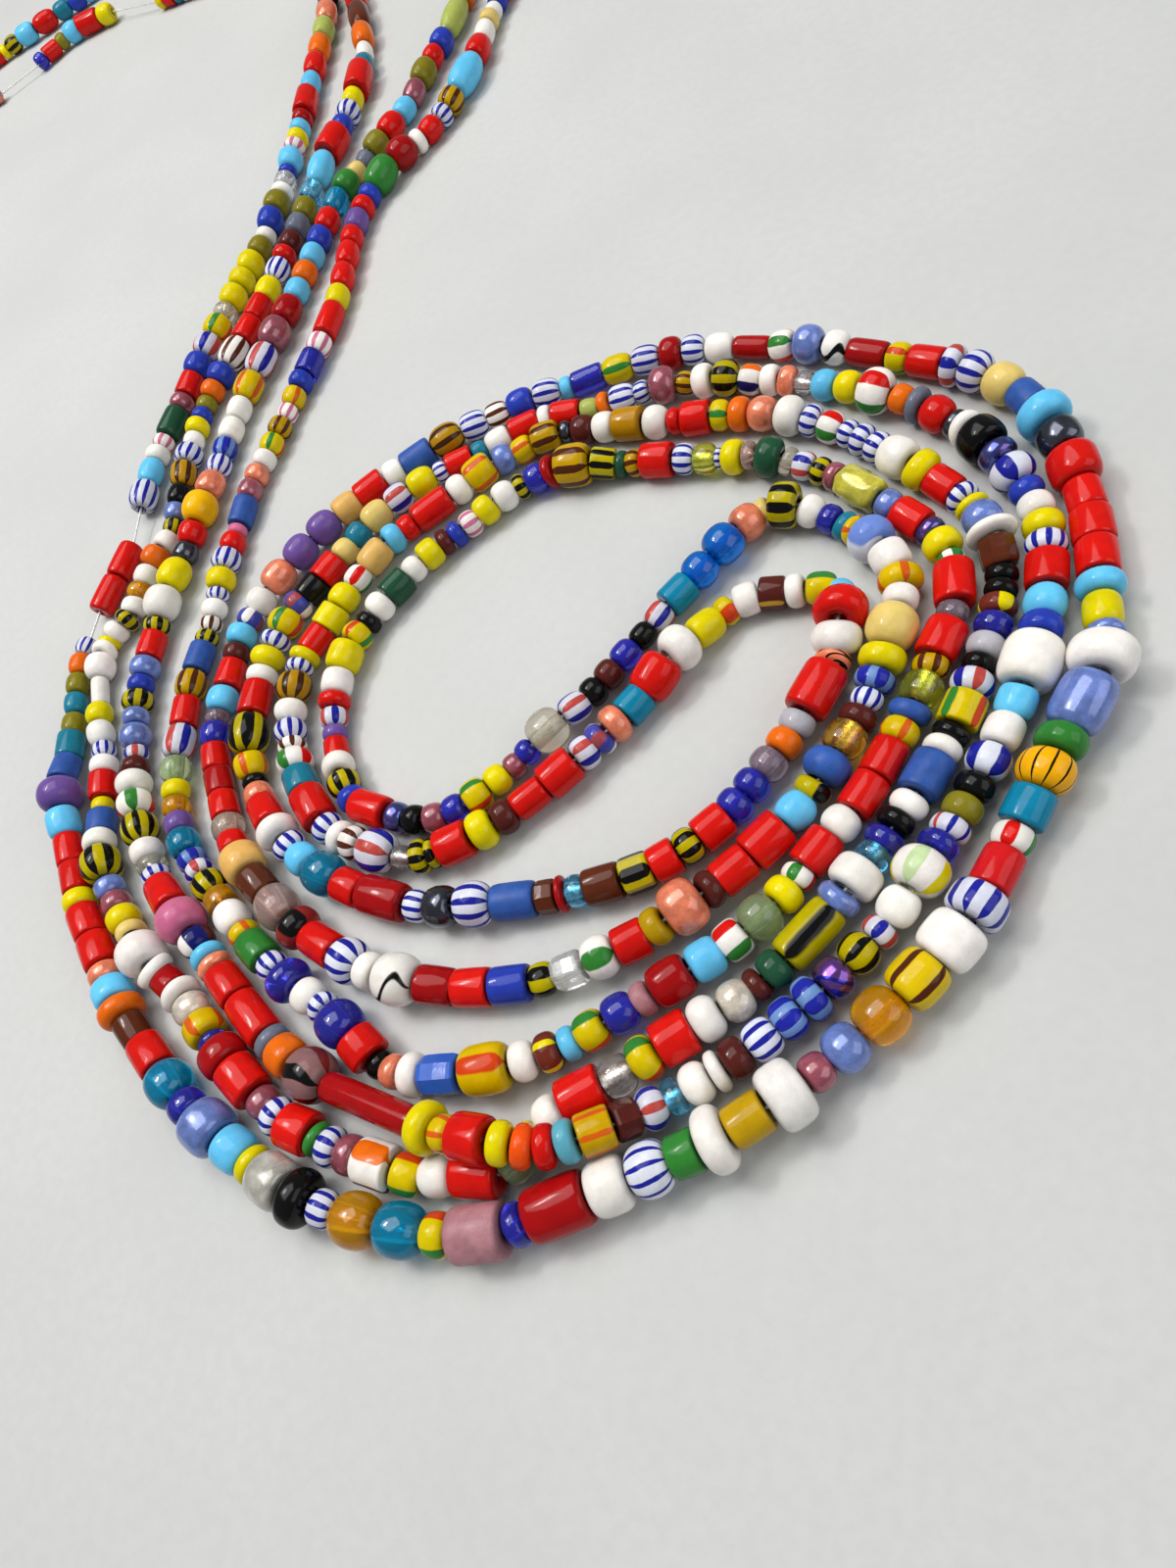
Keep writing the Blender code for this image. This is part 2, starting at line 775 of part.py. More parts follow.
LEFT_2 = [
    (205, 1042, "plr9"),
    (196, 1017, "whda"),
    (186, 1009, "crt8"),
    (166, 1000, "whda"),
    (157, 992, "whrc"),
    (143, 964, "bkd6"),
    (139, 958, "ico8"),
    (130, 948, "yeo9"),
    (121, 932, "mmo8"),
    (113, 916, "pwo8"),
    (108, 900, "ykrb"),
    (102, 870, "who9"),
    (101, 852, "mbt8"),
    (103, 828, "yeo6"),
    (104, 814, "rdt8"),
    (107, 788, "who8"),
    (108, 771, "wbo7"),
    (104, 758, "whr8"),
    (100, 738, "yer8"),
    (100, 718, "whl5"),
    (100, 692, "whr9"),
    (104, 668, "who8 yeo7"),
    (112, 648, "whr8 yko8"),
]
FAR_LEFT_2 = [
    (136, 628, "who8"),
    (139, 613, "amo8"),
    (144, 598, "who8"),
    (152, 580, "oro9 who8"),
    (176, 546, "yko7 pwo8"),
    (180, 518, "bko8 ano9"),
    (191, 476, "wbo9 who7"),
    (199, 444, "yeo8 rbo7 olo7"),
    (210, 407, "oro8 rbo9"),
    (233, 377, "wno9"),
    (247, 350, "rdt8 rdt8"),
    (269, 307, "yeo8 wbo8"),
    (288, 268, "rdd8 mao8"),
    (301, 241, "gbo8 olo8"),
    (315, 207, "lsd8"),
    (322, 190, "lbr9"),
    (333, 162, "rdta"),
    (349, 138, "rbd8 wbd9"),
    (360, 111, "yeo8 rdta"),
    (374, 73, "teo8 who7"),
    (373, 48, "ord9 bro9"),
    (366, 8, "rdd9"),
    (360, -4, ""),
]
CORNER_FAR = [
    (86, -4, "rbo9 teo9"),
    (57, 16, "rdra"),
    (37, 32, "lboa"),
    (20, 42, "yko9"),
    (8, 50, ""),
]
CORNER_NEAR = [
    (0, 95, "gap12"),
    (38, 66, "tbo8 rdt8 olo8"),
    (68, 38, "lboa rdta yeoa"),
    (116, 12, "gap16"),
    (160, 1, ""),
]

# Hidden stretches take the plain way round: plan positions in millimetres.
PLAN_COLUMNS = ("x", "y", "beads")

TURN_34 = [
    (93.0, 223.0, ""),
    (93.4, 230.6, ""),
    (87.6, 229.8, ""),
]
ARC_2 = [
    (79.5, 270.0, ""),
    (85.0, 288.0, ""),
    (84.0, 312.0, ""),
    (74.0, 340.0, ""),
    (55.0, 364.0, ""),
]
TURN_12 = [
    (-2.0, 384.0, ""),
    (-10.5, 379.0, ""),
    (-14.0, 370.5, ""),
    (-10.0, 362.5, ""),
]
ARC_1 = [
    (57.0, 324.0, ""),
    (67.0, 308.0, ""),
    (73.0, 291.0, ""),
    (73.5, 277.0, ""),
]


# The strand in order: name of a stretch, its rows, and whether it is a plain hidden stretch with plan positions in millimetres.
PASSES = [
    ("far_left_1", FAR_LEFT_OUT, False),
    ("left_1", LEFT_OUT, False),
    ("near_1", NEAR_OUT, False),
    ("right_1", RIGHT_OUT, False),
    ("inner_left_1", INNER_LEFT_OUT, False),
    ("inner_near_1", INNER_NEAR_OUT, False),
    ("hook_1", HOOK_OUT, False),
    ("far_4", INNER_LEFT_IN + FAR_IN, False),
    ("right_4", RIGHT_IN, False),
    ("near_4", NEAR_IN, False),
    ("left_4", LEFT_IN, False),
    ("far_left_4", FAR_LEFT_IN, False),
    ("turn_34", TURN_34, True),
    ("far_left_3", FAR_LEFT_3, False),
    ("left_3", LEFT_3, False),
    ("near_3", NEAR_3, False),
    ("right_3", RIGHT_3, False),
    ("far_3", FAR_3, False),
    ("inner_left_3", INNER_LEFT_3, False),
    ("inner_near_3", INNER_NEAR_3, False),
    ("hook_3", HOOK_3, False),
    ("far_2", INNER_LEFT_2 + FAR_2, False),
    ("right_2", RIGHT_2, False),
    ("near_2", NEAR_2, False),
    ("left_2", LEFT_2, False),
    ("far_left_2", FAR_LEFT_2, False),
    ("arc_2", ARC_2, True),
    ("corner_far", CORNER_FAR, False),
    ("turn_12", TURN_12, True),
    ("corner_near", CORNER_NEAR, False),
    ("arc_1", ARC_1, True),
]

# Beads that are solids of their own: the largest ones.
LARGE_COUNT = 30
LARGE_SIDES = 8
HOLE_R = 0.75
NECK = 0.62
SLACK = 0.15

# The barrel whose flat side is down on the table: its stretch, colour and shape.
RESTING = ("far_4", "yn", "b")

# Stretches that are joined into one solid.
JOINED = {"turn_34": "far_left_4", "turn_12": "corner_far", "corner_near": "corner_far"}

# Colour of each bead kind: word, red, green, blue.
COLOURS = {
    "wh": ("white", 0.82, 0.82, 0.78), "pu": ("purple", 0.25, 0.10, 0.35), "pw": ("periwinkle", 0.38, 0.44, 0.68),
    "pk": ("pink", 0.80, 0.38, 0.42), "rd": ("red", 0.55, 0.03, 0.03), "bk": ("black", 0.02, 0.02, 0.02),
    "pm": ("mauve_striped", 0.36, 0.24, 0.26), "wk": ("white_marked", 0.80, 0.80, 0.76), "lb": ("pale_blue", 0.50, 0.68, 0.80),
    "co": ("coral", 0.78, 0.36, 0.28), "yn": ("yellow_brown", 0.70, 0.50, 0.12), "wy": ("white_yellow", 0.80, 0.76, 0.50),
    "yk": ("yellow_black", 0.72, 0.56, 0.08), "wb": ("white_blue", 0.66, 0.70, 0.80), "or": ("orange", 0.80, 0.25, 0.04),
    "tt": ("teal", 0.05, 0.42, 0.44), "ic": ("ivory", 0.76, 0.72, 0.58), "ak": ("amber_black", 0.55, 0.30, 0.04),
    "cr": ("crimson", 0.50, 0.02, 0.06), "sc": ("clear", 0.66, 0.68, 0.68), "tn": ("tan", 0.58, 0.42, 0.26),
    "am": ("amber", 0.62, 0.32, 0.04), "pc": ("pale_pink", 0.74, 0.60, 0.58), "tb": ("dark_blue", 0.02, 0.05, 0.25),
    "mb": ("denim_blue", 0.10, 0.20, 0.42), "ye": ("yellow", 0.80, 0.60, 0.05), "wr": ("white_red", 0.78, 0.66, 0.62),
}
SHAPE_WORDS = {"r": "ball", "b": "barrel", "d": "disc", "t": "tube", "l": "tube", "w": "twist", "z": "bugle", "f": "facet", "o": "seed"}
STRAND_TINTS = [("red", 0.50, 0.04, 0.04), ("blue", 0.08, 0.16, 0.42), ("ivory", 0.74, 0.70, 0.58), ("teal", 0.06, 0.38, 0.40), ("mustard", 0.62, 0.44, 0.08)]

beads, plan = strung()
joints = settled(beads, plan)
count = len(beads)

group = [JOINED.get(bead[0], bead[0]) for bead in beads]
resting = next(i for i, bead in enumerate(beads) if bead[:3] == RESTING)
joints[:, 2] += 0.04

by_size = sorted(range(count), key=lambda i: (-round(beads[i][4], 4), i))
large = sorted(set(by_size[:LARGE_COUNT]) | {resting})
large_set = set(large)


def heading(i):
    step = joints[(i + 1) % count] - joints[i % count]
    return step / np.linalg.norm(step)


def half_bend(i):
    """Tangent of half the bend at the joint before bead i."""
    cosine = float(np.clip(np.dot(heading(i - 1), heading(i)), -0.2, 1.0))
    return math.tan(0.5 * math.acos(cosine))


def trims(i, lip, radius, shoulder):
    """How far a bead's two ends stay short of its joints, so that no neighbour is met at a bend."""
    return [SLACK + max(0.0, lip * half_bend(j), radius * half_bend(j) - shoulder) for j in (i, i + 1)]


def neck(i):
    """Radius where bead i meets the one before it."""
    return NECK * 0.5 * min(beads[i % count][4], beads[i - 1][4])


def is_plain(i):
    return i % count not in large_set and beads[i % count][1] != "gap"


collection = bpy.data.collections.new("waist_beads")
bpy.context.scene.collection.children.link(collection)


def paint(obj, tint, rough):
    material = bpy.data.materials.new(obj.name)
    material.use_nodes = True
    shader = material.node_tree.nodes["Principled BSDF"]
    shader.inputs["Base Color"].default_value = (*tint, 1.0)
    shader.inputs["Roughness"].default_value = rough
    obj.data.materials.append(material)


def strand(name, members, tint):
    """Beads joined along their thread: a ring of the thread's line at each neck and round each bead's middle."""
    rings = []
    for n, i in enumerate(members):
        start, stop, ahead = joints[i], joints[(i + 1) % count], heading(i)
        first, last = n == 0, n == len(members) - 1
        length, radius = np.linalg.norm(stop - start), beads[i][4] / 2.0
        if is_plain(i):
            if first or not is_plain(i - 1):
                rings.append((start + ahead * (SLACK + neck(i) * half_bend(i)), neck(i)))
            else:
                rings.append((start, neck(i)))
            shares = (0.18, 0.82) if length > 1.35 * beads[i][4] else (0.5,)
            rings += [(start + ahead * length * share, radius) for share in shares]
            if last or not is_plain(i + 1):
                rings.append((stop - ahead * (SLACK + neck(i + 1) * half_bend(i + 1)), neck(i + 1)))
        else:
            rings.append((start + ahead * (SLACK if first else 0.0), THREAD_R))
            if last or is_plain(i + 1):
                rings.append((stop - ahead * (SLACK if last else 0.0), THREAD_R))
    curve = bpy.data.curves.new(name, "CURVE")
    curve.dimensions = "3D"
    curve.twist_mode = "Z_UP"
    curve.bevel_depth = MM
    curve.bevel_resolution = 1
    curve.use_fill_caps = True
    spline = curve.splines.new("POLY")
    spline.points.add(len(rings) - 1)
    for point, (spot, radius) in zip(spline.points, rings):
        point.co = (*(spot * MM), 1.0)
        point.radius = radius
    obj = bpy.data.objects.new(name, curve)
    collection.objects.link(obj)
    paint(obj, tint, 0.35)


def large_bead(name, i, tint):
    """A lathed bead with a hole along its axis, one flat side down."""
    _, _, shape, length, diameter = beads[i]
    radius = diameter / 2.0
    _, lip_share, mid_share = SHAPES[shape]
    ahead = heading(i)
    centre = 0.5 * (joints[i] + joints[(i + 1) % count])
    if i == resting:
        ahead = np.array([ahead[0], ahead[1], 0.0])
        ahead /= np.linalg.norm(ahead)
        radius /= math.cos(math.pi / LARGE_SIDES)
        centre[2] = radius * math.cos(math.pi / LARGE_SIDES)
    low_trim, high_trim = trims(i, radius * lip_share, radius, (0.5 - mid_share) * length)
    low, high = -length / 2.0 + low_trim, length / 2.0 - high_trim
    mid = 0.5 * (low + high)
    half = 0.5 * (high - low)
    lip, waist = radius * lip_share, half * 2.0 * mid_share
    outline = [(HOLE_R, high), (lip, high), (radius, mid + waist), (radius, mid - waist), (lip, low), (HOLE_R, low)]
    mesh = bpy.data.meshes.new(name)
    spots = [(x * MM, 0.0, z * MM) for x, z in outline]
    mesh.from_pydata(spots, [(k, (k + 1) % len(spots)) for k in range(len(spots))], [])
    obj = bpy.data.objects.new(name, mesh)
    collection.objects.link(obj)
    turn = obj.modifiers.new("lathe", "SCREW")
    turn.axis = "Z"
    turn.steps = turn.render_steps = LARGE_SIDES
    turn.use_merge_vertices = True
    turn.merge_threshold = 0.00001
    turn.use_smooth_shade = False
    axis = Vector(ahead)
    side = axis.cross(Vector((0.0, 0.0, -1.0))).normalized()
    down = side.cross(axis).normalized()
    quarter = Matrix((side, down, axis)).transposed()
    spin = Matrix.Rotation(math.radians(90.0 + 180.0 / LARGE_SIDES), 3, "Z")
    frame = (quarter @ spin).to_4x4()
    frame.translation = Vector(centre) * MM
    obj.matrix_world = frame
    paint(obj, tint, 0.2)


names = []
for bead, label in zip(beads, group):
    if label not in names:
        names.append(label)
for n, label in enumerate(names):
    strand("strand_" + label, [i for i in range(count) if group[i] == label], STRAND_TINTS[n % len(STRAND_TINTS)][1:])
for n, i in enumerate(large):
    word, *tint = COLOURS[beads[i][1]]
    large_bead(f"bead_{n + 1:02d}_{word}_{SHAPE_WORDS[beads[i][2]]}", i, tint)

# The origin goes to the middle of the underside.
bpy.context.view_layer.update()
graph = bpy.context.evaluated_depsgraph_get()
corners = []
for obj in collection.objects:
    shaped = obj.evaluated_get(graph)
    mesh = shaped.to_mesh()
    flat = np.empty(len(mesh.vertices) * 3)
    mesh.vertices.foreach_get("co", flat)
    world = np.array(obj.matrix_world)
    corners.append(flat.reshape(-1, 3) @ world[:3, :3].T + world[:3, 3])
    shaped.to_mesh_clear()
low = np.min([spots.min(0) for spots in corners], axis=0)
high = np.max([spots.max(0) for spots in corners], axis=0)
shift = Vector((-(low[0] + high[0]) / 2.0, -(low[1] + high[1]) / 2.0, -low[2]))
for obj in collection.objects:
    obj.location += shift
print("solids", len(collection.objects), "beads", sum(bead[1] != "gap" for bead in beads), "strand mm", round(sum(bead[3] for bead in beads)))
print("extent mm", [round(float(side) * 1000.0, 2) for side in high - low], "shift", [round(side * 1000.0, 3) for side in shift])
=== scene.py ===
import math

import bpy
import numpy as np
from mathutils import Matrix, Vector


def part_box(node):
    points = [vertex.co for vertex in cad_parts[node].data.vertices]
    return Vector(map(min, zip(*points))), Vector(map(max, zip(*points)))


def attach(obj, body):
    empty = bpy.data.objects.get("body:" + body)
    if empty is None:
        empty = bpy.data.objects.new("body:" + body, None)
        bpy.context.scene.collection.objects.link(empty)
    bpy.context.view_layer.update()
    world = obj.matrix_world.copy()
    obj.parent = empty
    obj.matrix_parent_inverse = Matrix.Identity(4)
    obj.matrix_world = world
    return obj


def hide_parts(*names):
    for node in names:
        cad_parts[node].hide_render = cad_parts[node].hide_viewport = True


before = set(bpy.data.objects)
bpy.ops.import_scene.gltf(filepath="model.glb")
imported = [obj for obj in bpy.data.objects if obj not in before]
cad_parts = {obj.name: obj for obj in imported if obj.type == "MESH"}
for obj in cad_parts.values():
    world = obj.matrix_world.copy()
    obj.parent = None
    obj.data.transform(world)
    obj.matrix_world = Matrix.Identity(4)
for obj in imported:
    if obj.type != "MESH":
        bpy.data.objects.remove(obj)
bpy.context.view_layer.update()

MM = 0.001

# The view that the chart was sighted through, in picture units, degrees and millimetres.
FOCAL = 1000.0
FRAME_MID = (600.0, 800.0)
TILT = math.radians(57.5)
ROLL = math.radians(40.0)
VIEW_H = 96.3
AXIS_H = 2.1

# Sizes are charted against an even fall-off of scale over the view.
CHART_SCALE = 8.76
CHART_FALL = (0.469 / 1622.0, 0.883 / 1622.0)

THREAD_R = 0.3
CLEAR = 0.32

# Outer diameter of each size, in millimetres.
SIZES = {"5": 2.5, "6": 2.9, "7": 3.3, "8": 3.8, "9": 4.3, "a": 4.8, "b": 5.4, "c": 6.0, "d": 6.6, "e": 7.2}

# Length over diameter, end radius over radius, and half the length of the full-width middle over the length.
SHAPES = {
    "t": (1.00, 0.96, 0.44),
    "l": (1.35, 0.96, 0.45),
    "z": (2.90, 0.96, 0.47),
    "f": (1.00, 0.88, 0.34),
    "w": (1.30, 0.80, 0.34),
    "b": (0.84, 0.80, 0.28),
    "o": (0.68, 0.70, 0.16),
    "d": (0.48, 0.80, 0.22),
    "r": (0.88, 0.50, 0.10),
}

# Where one pass lies over another: picture position of the middle, reach in millimetres, height of the axis.
OVERPASS = (508.0, 1172.0, 16.0, 6.8)

# How much wider the far left beads are than their chart, which was sighted through blur: the most, and where it
# starts and is full, down the picture.
FAR_WIDTH = (0.18, 520.0, 240.0)

REPEAT = "rdt8 who8 lbo8 yeo8 rdt8 bko8 who8 rbo8 coo8 yeo8 rdt8 teo8 who8 oro8"


def laid(x, y, z=AXIS_H):
    """Plan position, in millimetres, of what is sighted at x, y and lies at height z."""
    u, v = x - FRAME_MID[0], y - FRAME_MID[1]
    across = (u * math.cos(ROLL) - v * math.sin(ROLL)) / FOCAL
    down = (u * math.sin(ROLL) + v * math.cos(ROLL)) / FOCAL
    depth = (VIEW_H - z) / (math.sin(TILT) + down * math.cos(TILT))
    return depth * across, depth * (math.cos(TILT) - down * math.sin(TILT)), depth


def true_size(x, y):
    """How a charted size scales to millimetres at a sighted spot."""
    even = CHART_SCALE * (1.0 + (x - FRAME_MID[0]) * CHART_FALL[0] + (y - FRAME_MID[1]) * CHART_FALL[1])
    return even * laid(x, y)[2] / FOCAL


def lift_at(place):
    """How much higher than the table the upper pass runs at a plan position, or at each of several."""
    over = np.array(laid(*OVERPASS[:2], OVERPASS[3])[:2])
    away = np.linalg.norm(place - over, axis=-1)
    return (OVERPASS[3] - 2.0) * np.maximum(0.0, 1.0 - (away / OVERPASS[2]) ** 2)


def bead_of(code, scale):
    """Colour, shape, length, diameter of one charted bead."""
    if code.startswith("gap"):
        return "gap", "gap", float(code[3:]), 2.0 * THREAD_R
    diameter = SIZES[code[3]] * scale
    return code[:2], code[2], SHAPES[code[2]][0] * diameter, diameter


def curve_part(p0, p1, p2, p3, steps=24):
    """Smooth stretch from p1 to p2, eased by the spots before and after."""
    t1 = max(1e-6, np.linalg.norm(p1 - p0)) ** 0.5
    t2 = t1 + max(1e-6, np.linalg.norm(p2 - p1)) ** 0.5
    t3 = t2 + max(1e-6, np.linalg.norm(p3 - p2)) ** 0.5
    t = np.linspace(t1, t2, steps + 1)[:, None]
    a1 = (t1 - t) / t1 * p0 + t / t1 * p1
    a2 = (t2 - t) / (t2 - t1) * p1 + (t - t1) / (t2 - t1) * p2
    a3 = (t3 - t) / (t3 - t2) * p2 + (t - t2) / (t3 - t2) * p3
    b1 = (t2 - t) / t2 * a1 + t / t2 * a2
    b2 = (t3 - t) / (t3 - t1) * a2 + (t - t1) / (t3 - t1) * a3
    return (t2 - t) / (t2 - t1) * b1 + (t - t1) / (t2 - t1) * b2


def strung():
    """Beads in order round the strand, and the plan position of the joint before each."""
    spots, runs, wider = [], [], []
    for name, rows, plain in PASSES:
        for x, y, row in rows:
            full = min(1.0, max(0.0, (FAR_WIDTH[1] - y) / (FAR_WIDTH[1] - FAR_WIDTH[2])))
            wider.append(1.0 + FAR_WIDTH[0] * full if name.startswith("far_left") else 1.0)
            if plain:
                spots.append((x, y))
                runs.append((name, REPEAT.split(), 1.0, True))
                continue
            rise = lift_at(np.array(laid(x, y)[:2])) if name == "near_3" else 0.0
            spots.append(laid(x, y, AXIS_H + rise)[:2])
            runs.append((name, row.split(), true_size(x, y), False))
    spots = np.array(spots, float)
    count = len(spots)
    beads, joints = [], []
    spare = 0
    for i in range(count):
        part = curve_part(spots[i - 1], spots[i], spots[(i + 1) % count], spots[(i + 2) % count])
        walk = np.r_[0.0, np.cumsum(np.linalg.norm(np.diff(part, axis=0), axis=1))]
        name, codes, scale, plain = runs[i]
        if plain or not codes:
            row, filled = [], 0.0
            while filled < walk[-1] - 1.2:
                row.append(bead_of(REPEAT.split()[spare % 14], 1.0))
                filled += row[-1][2]
                spare += 1
        else:
            row = [bead_of(code, scale) for code in codes]
        stretch = walk[-1] / sum(bead[2] for bead in row)
        at = 0.0
        for colour, shape, length, diameter in row:
            joints.append((np.interp(at, walk, part[:, 0]), np.interp(at, walk, part[:, 1])))
            at += length * stretch
            beads.append((name, colour, shape, length * stretch, diameter if colour == "gap" else diameter * wider[i]))
        FACTORS.append((name, runs[i][1], stretch, walk[-1]))
    return beads, np.array(joints)


FACTORS = []


def settled(beads, plan, rounds=300):
    """Joints of the strand once its passes lie on the table beside each other and not through each other."""
    count = len(beads)
    follow = (np.arange(count) + 1) % count
    radius = np.array([bead[4] / 2.0 for bead in beads])
    lip = radius * np.array([SHAPES[bead[2]][1] if bead[2] in SHAPES else 1.0 for bead in beads])
    want = np.array([bead[3] for bead in beads])
    low = np.maximum(lip, np.roll(lip, 1))
    raised = np.array([bead[0] == "near_3" for bead in beads])
    raised |= np.roll(raised, 1)
    hold = low + np.where(raised, 0.9 * lift_at(plan), 0.0)
    J = np.column_stack([plan, hold])
    home = plan.copy()
    share = np.array([0.08, 0.5, 0.92])
    owner = np.repeat(np.arange(count), 3)
    t = np.tile(share, count)
    r = np.column_stack([lip, radius, lip]).reshape(-1)
    P = (1 - t)[:, None] * J[owner] + t[:, None] * J[follow[owner]]
    first, second = [], []
    for k in range(0, len(P), 400):
        near = np.linalg.norm(P[k:k + 400, None, :2] - P[None, :, :2], axis=2)
        a, b = np.nonzero(near < r[k:k + 400, None] + r[None, :] + 4.0)
        a = a + k
        apart = np.abs(owner[a] - owner[b])
        apart = np.minimum(apart, count - apart)
        keep = (b > a) & (apart > 2)
        first.append(a[keep])
        second.append(b[keep])
    first, second = np.concatenate(first), np.concatenate(second)
    need = r[first] + r[second] + CLEAR
    worst = 0.0
    for turn in range(rounds):
        along = J[follow] - J
        along /= np.linalg.norm(along, axis=1)[:, None]
        P = (1 - t)[:, None] * J[owner] + t[:, None] * J[follow[owner]]
        gap = P[second] - P[first]
        ta, tb = along[owner[first]], along[owner[second]]
        dot = (ta * tb).sum(1)
        mean = ta + tb * np.sign(dot)[:, None]
        mean /= np.linalg.norm(mean, axis=1)[:, None] + 1e-9
        beside = np.abs(dot) > 0.75
        slide = (gap * mean).sum(1)
        side = np.where(beside[:, None], gap - slide[:, None] * mean, gap)
        target = np.where(beside, np.sqrt(np.maximum(0.0, need ** 2 - (1.6 * slide) ** 2)), need)
        dist = np.linalg.norm(side, axis=1)
        push = target - dist
        hit = push > 0
        worst = push.max()
        shove = side[hit] / (dist[hit][:, None] + 1e-9) * (push[hit] * 0.5)[:, None]
        move, tally = np.zeros((count, 3)), np.zeros(count)
        for spot, sign in ((first[hit], -1.0), (second[hit], 1.0)):
            for joint, weight in ((owner[spot], 1 - t[spot]), (follow[owner[spot]], t[spot])):
                np.add.at(move, joint, shove * (sign * weight)[:, None])
                np.add.at(tally, joint, weight)
        J += move / np.maximum(1.0, tally * 0.6)[:, None] * 1.2
        late = turn > rounds * 0.75
        for _ in range(2):
            along = J[follow] - J
            length = np.linalg.norm(along, axis=1)
            pull = along / length[:, None] * ((length - want) * 0.4)[:, None]
            np.add.at(J, np.arange(count), pull)
            np.add.at(J, follow, -pull)
        middle = 0.5 * (np.roll(J, 1, 0) + np.roll(J, -1, 0))
        J += (middle - J) * (0.02 if late else 0.10)
        J[:, :2] += (home - J[:, :2]) * (0.005 if late else 0.04)
        J[:, 2] -= 0.0 if turn > rounds * 0.92 else 0.05
        for _ in range(2):
            short = np.maximum(0.0, radius - 0.5 * (J[:, 2] + J[follow, 2]))
            rise = np.zeros(count)
            np.add.at(rise, np.arange(count), short * 0.6)
            np.add.at(rise, follow, short * 0.6)
            J[:, 2] = np.maximum(J[:, 2] + rise, hold)
    WORST.append(worst)
    return J


WORST = []
# Runs of the strand: each row gives where a run starts, as sighted, and its beads by colour, shape and size.
RUN_COLUMNS = ("x", "y", "beads")
FAR_LEFT_OUT = [
    (338, -4, "bkd9 coo9 lio9 oro9 rdo9 lbo8"),
    (316, 97, "rdt9 crd8 lbd8 yed8 wpd8"),
    (300, 158, "lbr9 rbd7 cco8 whd8"),
    (288, 202, "olo9 rbo9 whd7 olo8"),
    (263, 263, "yer9 yeo9 yer9"),
    (234, 316, "cfd8 yro9 wto9 rbo9"),
    (198, 386, "rdt8 mmo8"),
    (183, 420, "dgl8 wpo7 who8"),
    (156, 473, "lbo8 wbo9"),
    (145, 521, "gap5"),
    (139, 556, "rdl8 rdl8"),
    (100, 624, "gap4"),
]
LEFT_OUT = [
    (84, 650, "wbo6 oro7 olo7"),
    (76, 707, "teo7 olo7"),
    (74, 748, "ett8 mbt8"),
    (66, 801, "purc"),
    (64, 830, "lbb9"),
    (67, 856, "rdt8 rdt8"),
    (78, 914, "yeo9"),
    (84, 930, "rdt9 rdt9"),
    (107, 987, "coo9 lbba"),
    (126, 1024, "ordb brt8"),
    (144, 1067, "rdt9"),
    (165, 1095, "ttrb tbo9"),
    (204, 1141, "pwbc"),
    (229, 1166, "lbba yed9"),
    (268, 1192, "scbb"),
    (301, 1214, "bkdc wbo8"),
]
NEAR_OUT = [
    (343, 1246, "amrb ttrb"),
    (434, 1262, "yro9"),
    (462, 1254, "dplb"),
    (518, 1243, "tbo9"),
    (540, 1236, "crlb"),
    (604, 1217, "whbb wbrb"),
    (687, 1183, "grt9"),
    (717, 1169, "whdd mut9"),
    (788, 1136, "whbd"),
    (824, 1108, "mmo8"),
    (849, 1087, "pwra"),
    (883, 1059, "amrb"),
    (921, 1022, "ynbb"),
    (958, 985, "whbc"),
    (986, 943, "wbbc"),
    (1007, 911, "rdt9"),
    (1026, 869, "wro9"),
    (1038, 843, "ttta"),
    (1054, 808, "akrc"),
    (1074, 772, "grdb"),
    (1083, 746, "pwbc"),
    (1110, 693, "whde"),
    (1122, 656, "pwd9"),
]
RIGHT_OUT = [
    (1124, 641, "yeb9"),
    (1123, 607, "lbdb"),
    (1123, 586, "rdta rdta rdt9"),
    (1105, 492, "rdbc"),
    (1092, 461, "heob"),
    (1074, 437, "lbdd"),
    (1059, 417, "mbt9"),
    (1046, 396, "icrb"),
    (1013, 383, "wbrb"),
    (985, 375, "wtob"),
    (966, 373, "rdt9 yro9 crl8"),
    (868, 355, "wkra pwrb"),
    (812, 352, "wro9 crl7"),
    (750, 350, "whr9 wbo9"),
    (697, 358, "crda wbo9"),
    (646, 369, "yro9"),
    (616, 380, "tbt8 lbd7"),
    (571, 396, "wbo9 rbo9"),
    (518, 415, "wno8 wbo9"),
    (471, 440, "anra mbt9"),
    (412, 478, "who9 rdt9"),
]
INNER_LEFT_OUT = [
    (364, 507, "tnb9 pura pura cora"),
    (273, 603, "whr9 bmo8"),
    (247, 640, "lbo9 mao8"),
    (239, 675, "rdt8"),
    (231, 703, "lbo9 mcd7"),
    (219, 740, "tbo9"),
    (216, 763, "rdt8 crt8 rdt8"),
    (230, 836, "kcd9"),
    (235, 857, "rdt8"),
    (242, 872, "tnbb brt9"),
    (274, 915, "pcrb"),
    (296, 945, "kndb"),
    (315, 957, "rdt9"),
    (345, 977, "wbrb"),
    (370, 993, "who9"),
    (388, 1002, "wkrc"),
]
INNER_NEAR_OUT = [
    (428, 1010, "crt9 rdt9"),
    (502, 1012, "rbt9"),
    (541, 1008, "kyo8"),
    (566, 1000, "ccf8"),
    (597, 987, "wrra"),
    (630, 974, "rdt9"),
    (662, 957, "mud9"),
    (683, 943, "codc"),
    (718, 916, "mad9"),
    (735, 903, "rdt9 rdta"),
    (804, 844, "lbr9"),
    (828, 814, "kyd9"),
    (838, 797, "mbrb"),
    (858, 770, "asoa"),
    (874, 741, "mad9"),
    (883, 722, "wbo8"),
    (889, 703, "bwda"),
    (901, 685, "yedb"),
    (908, 662, "icrc"),
]
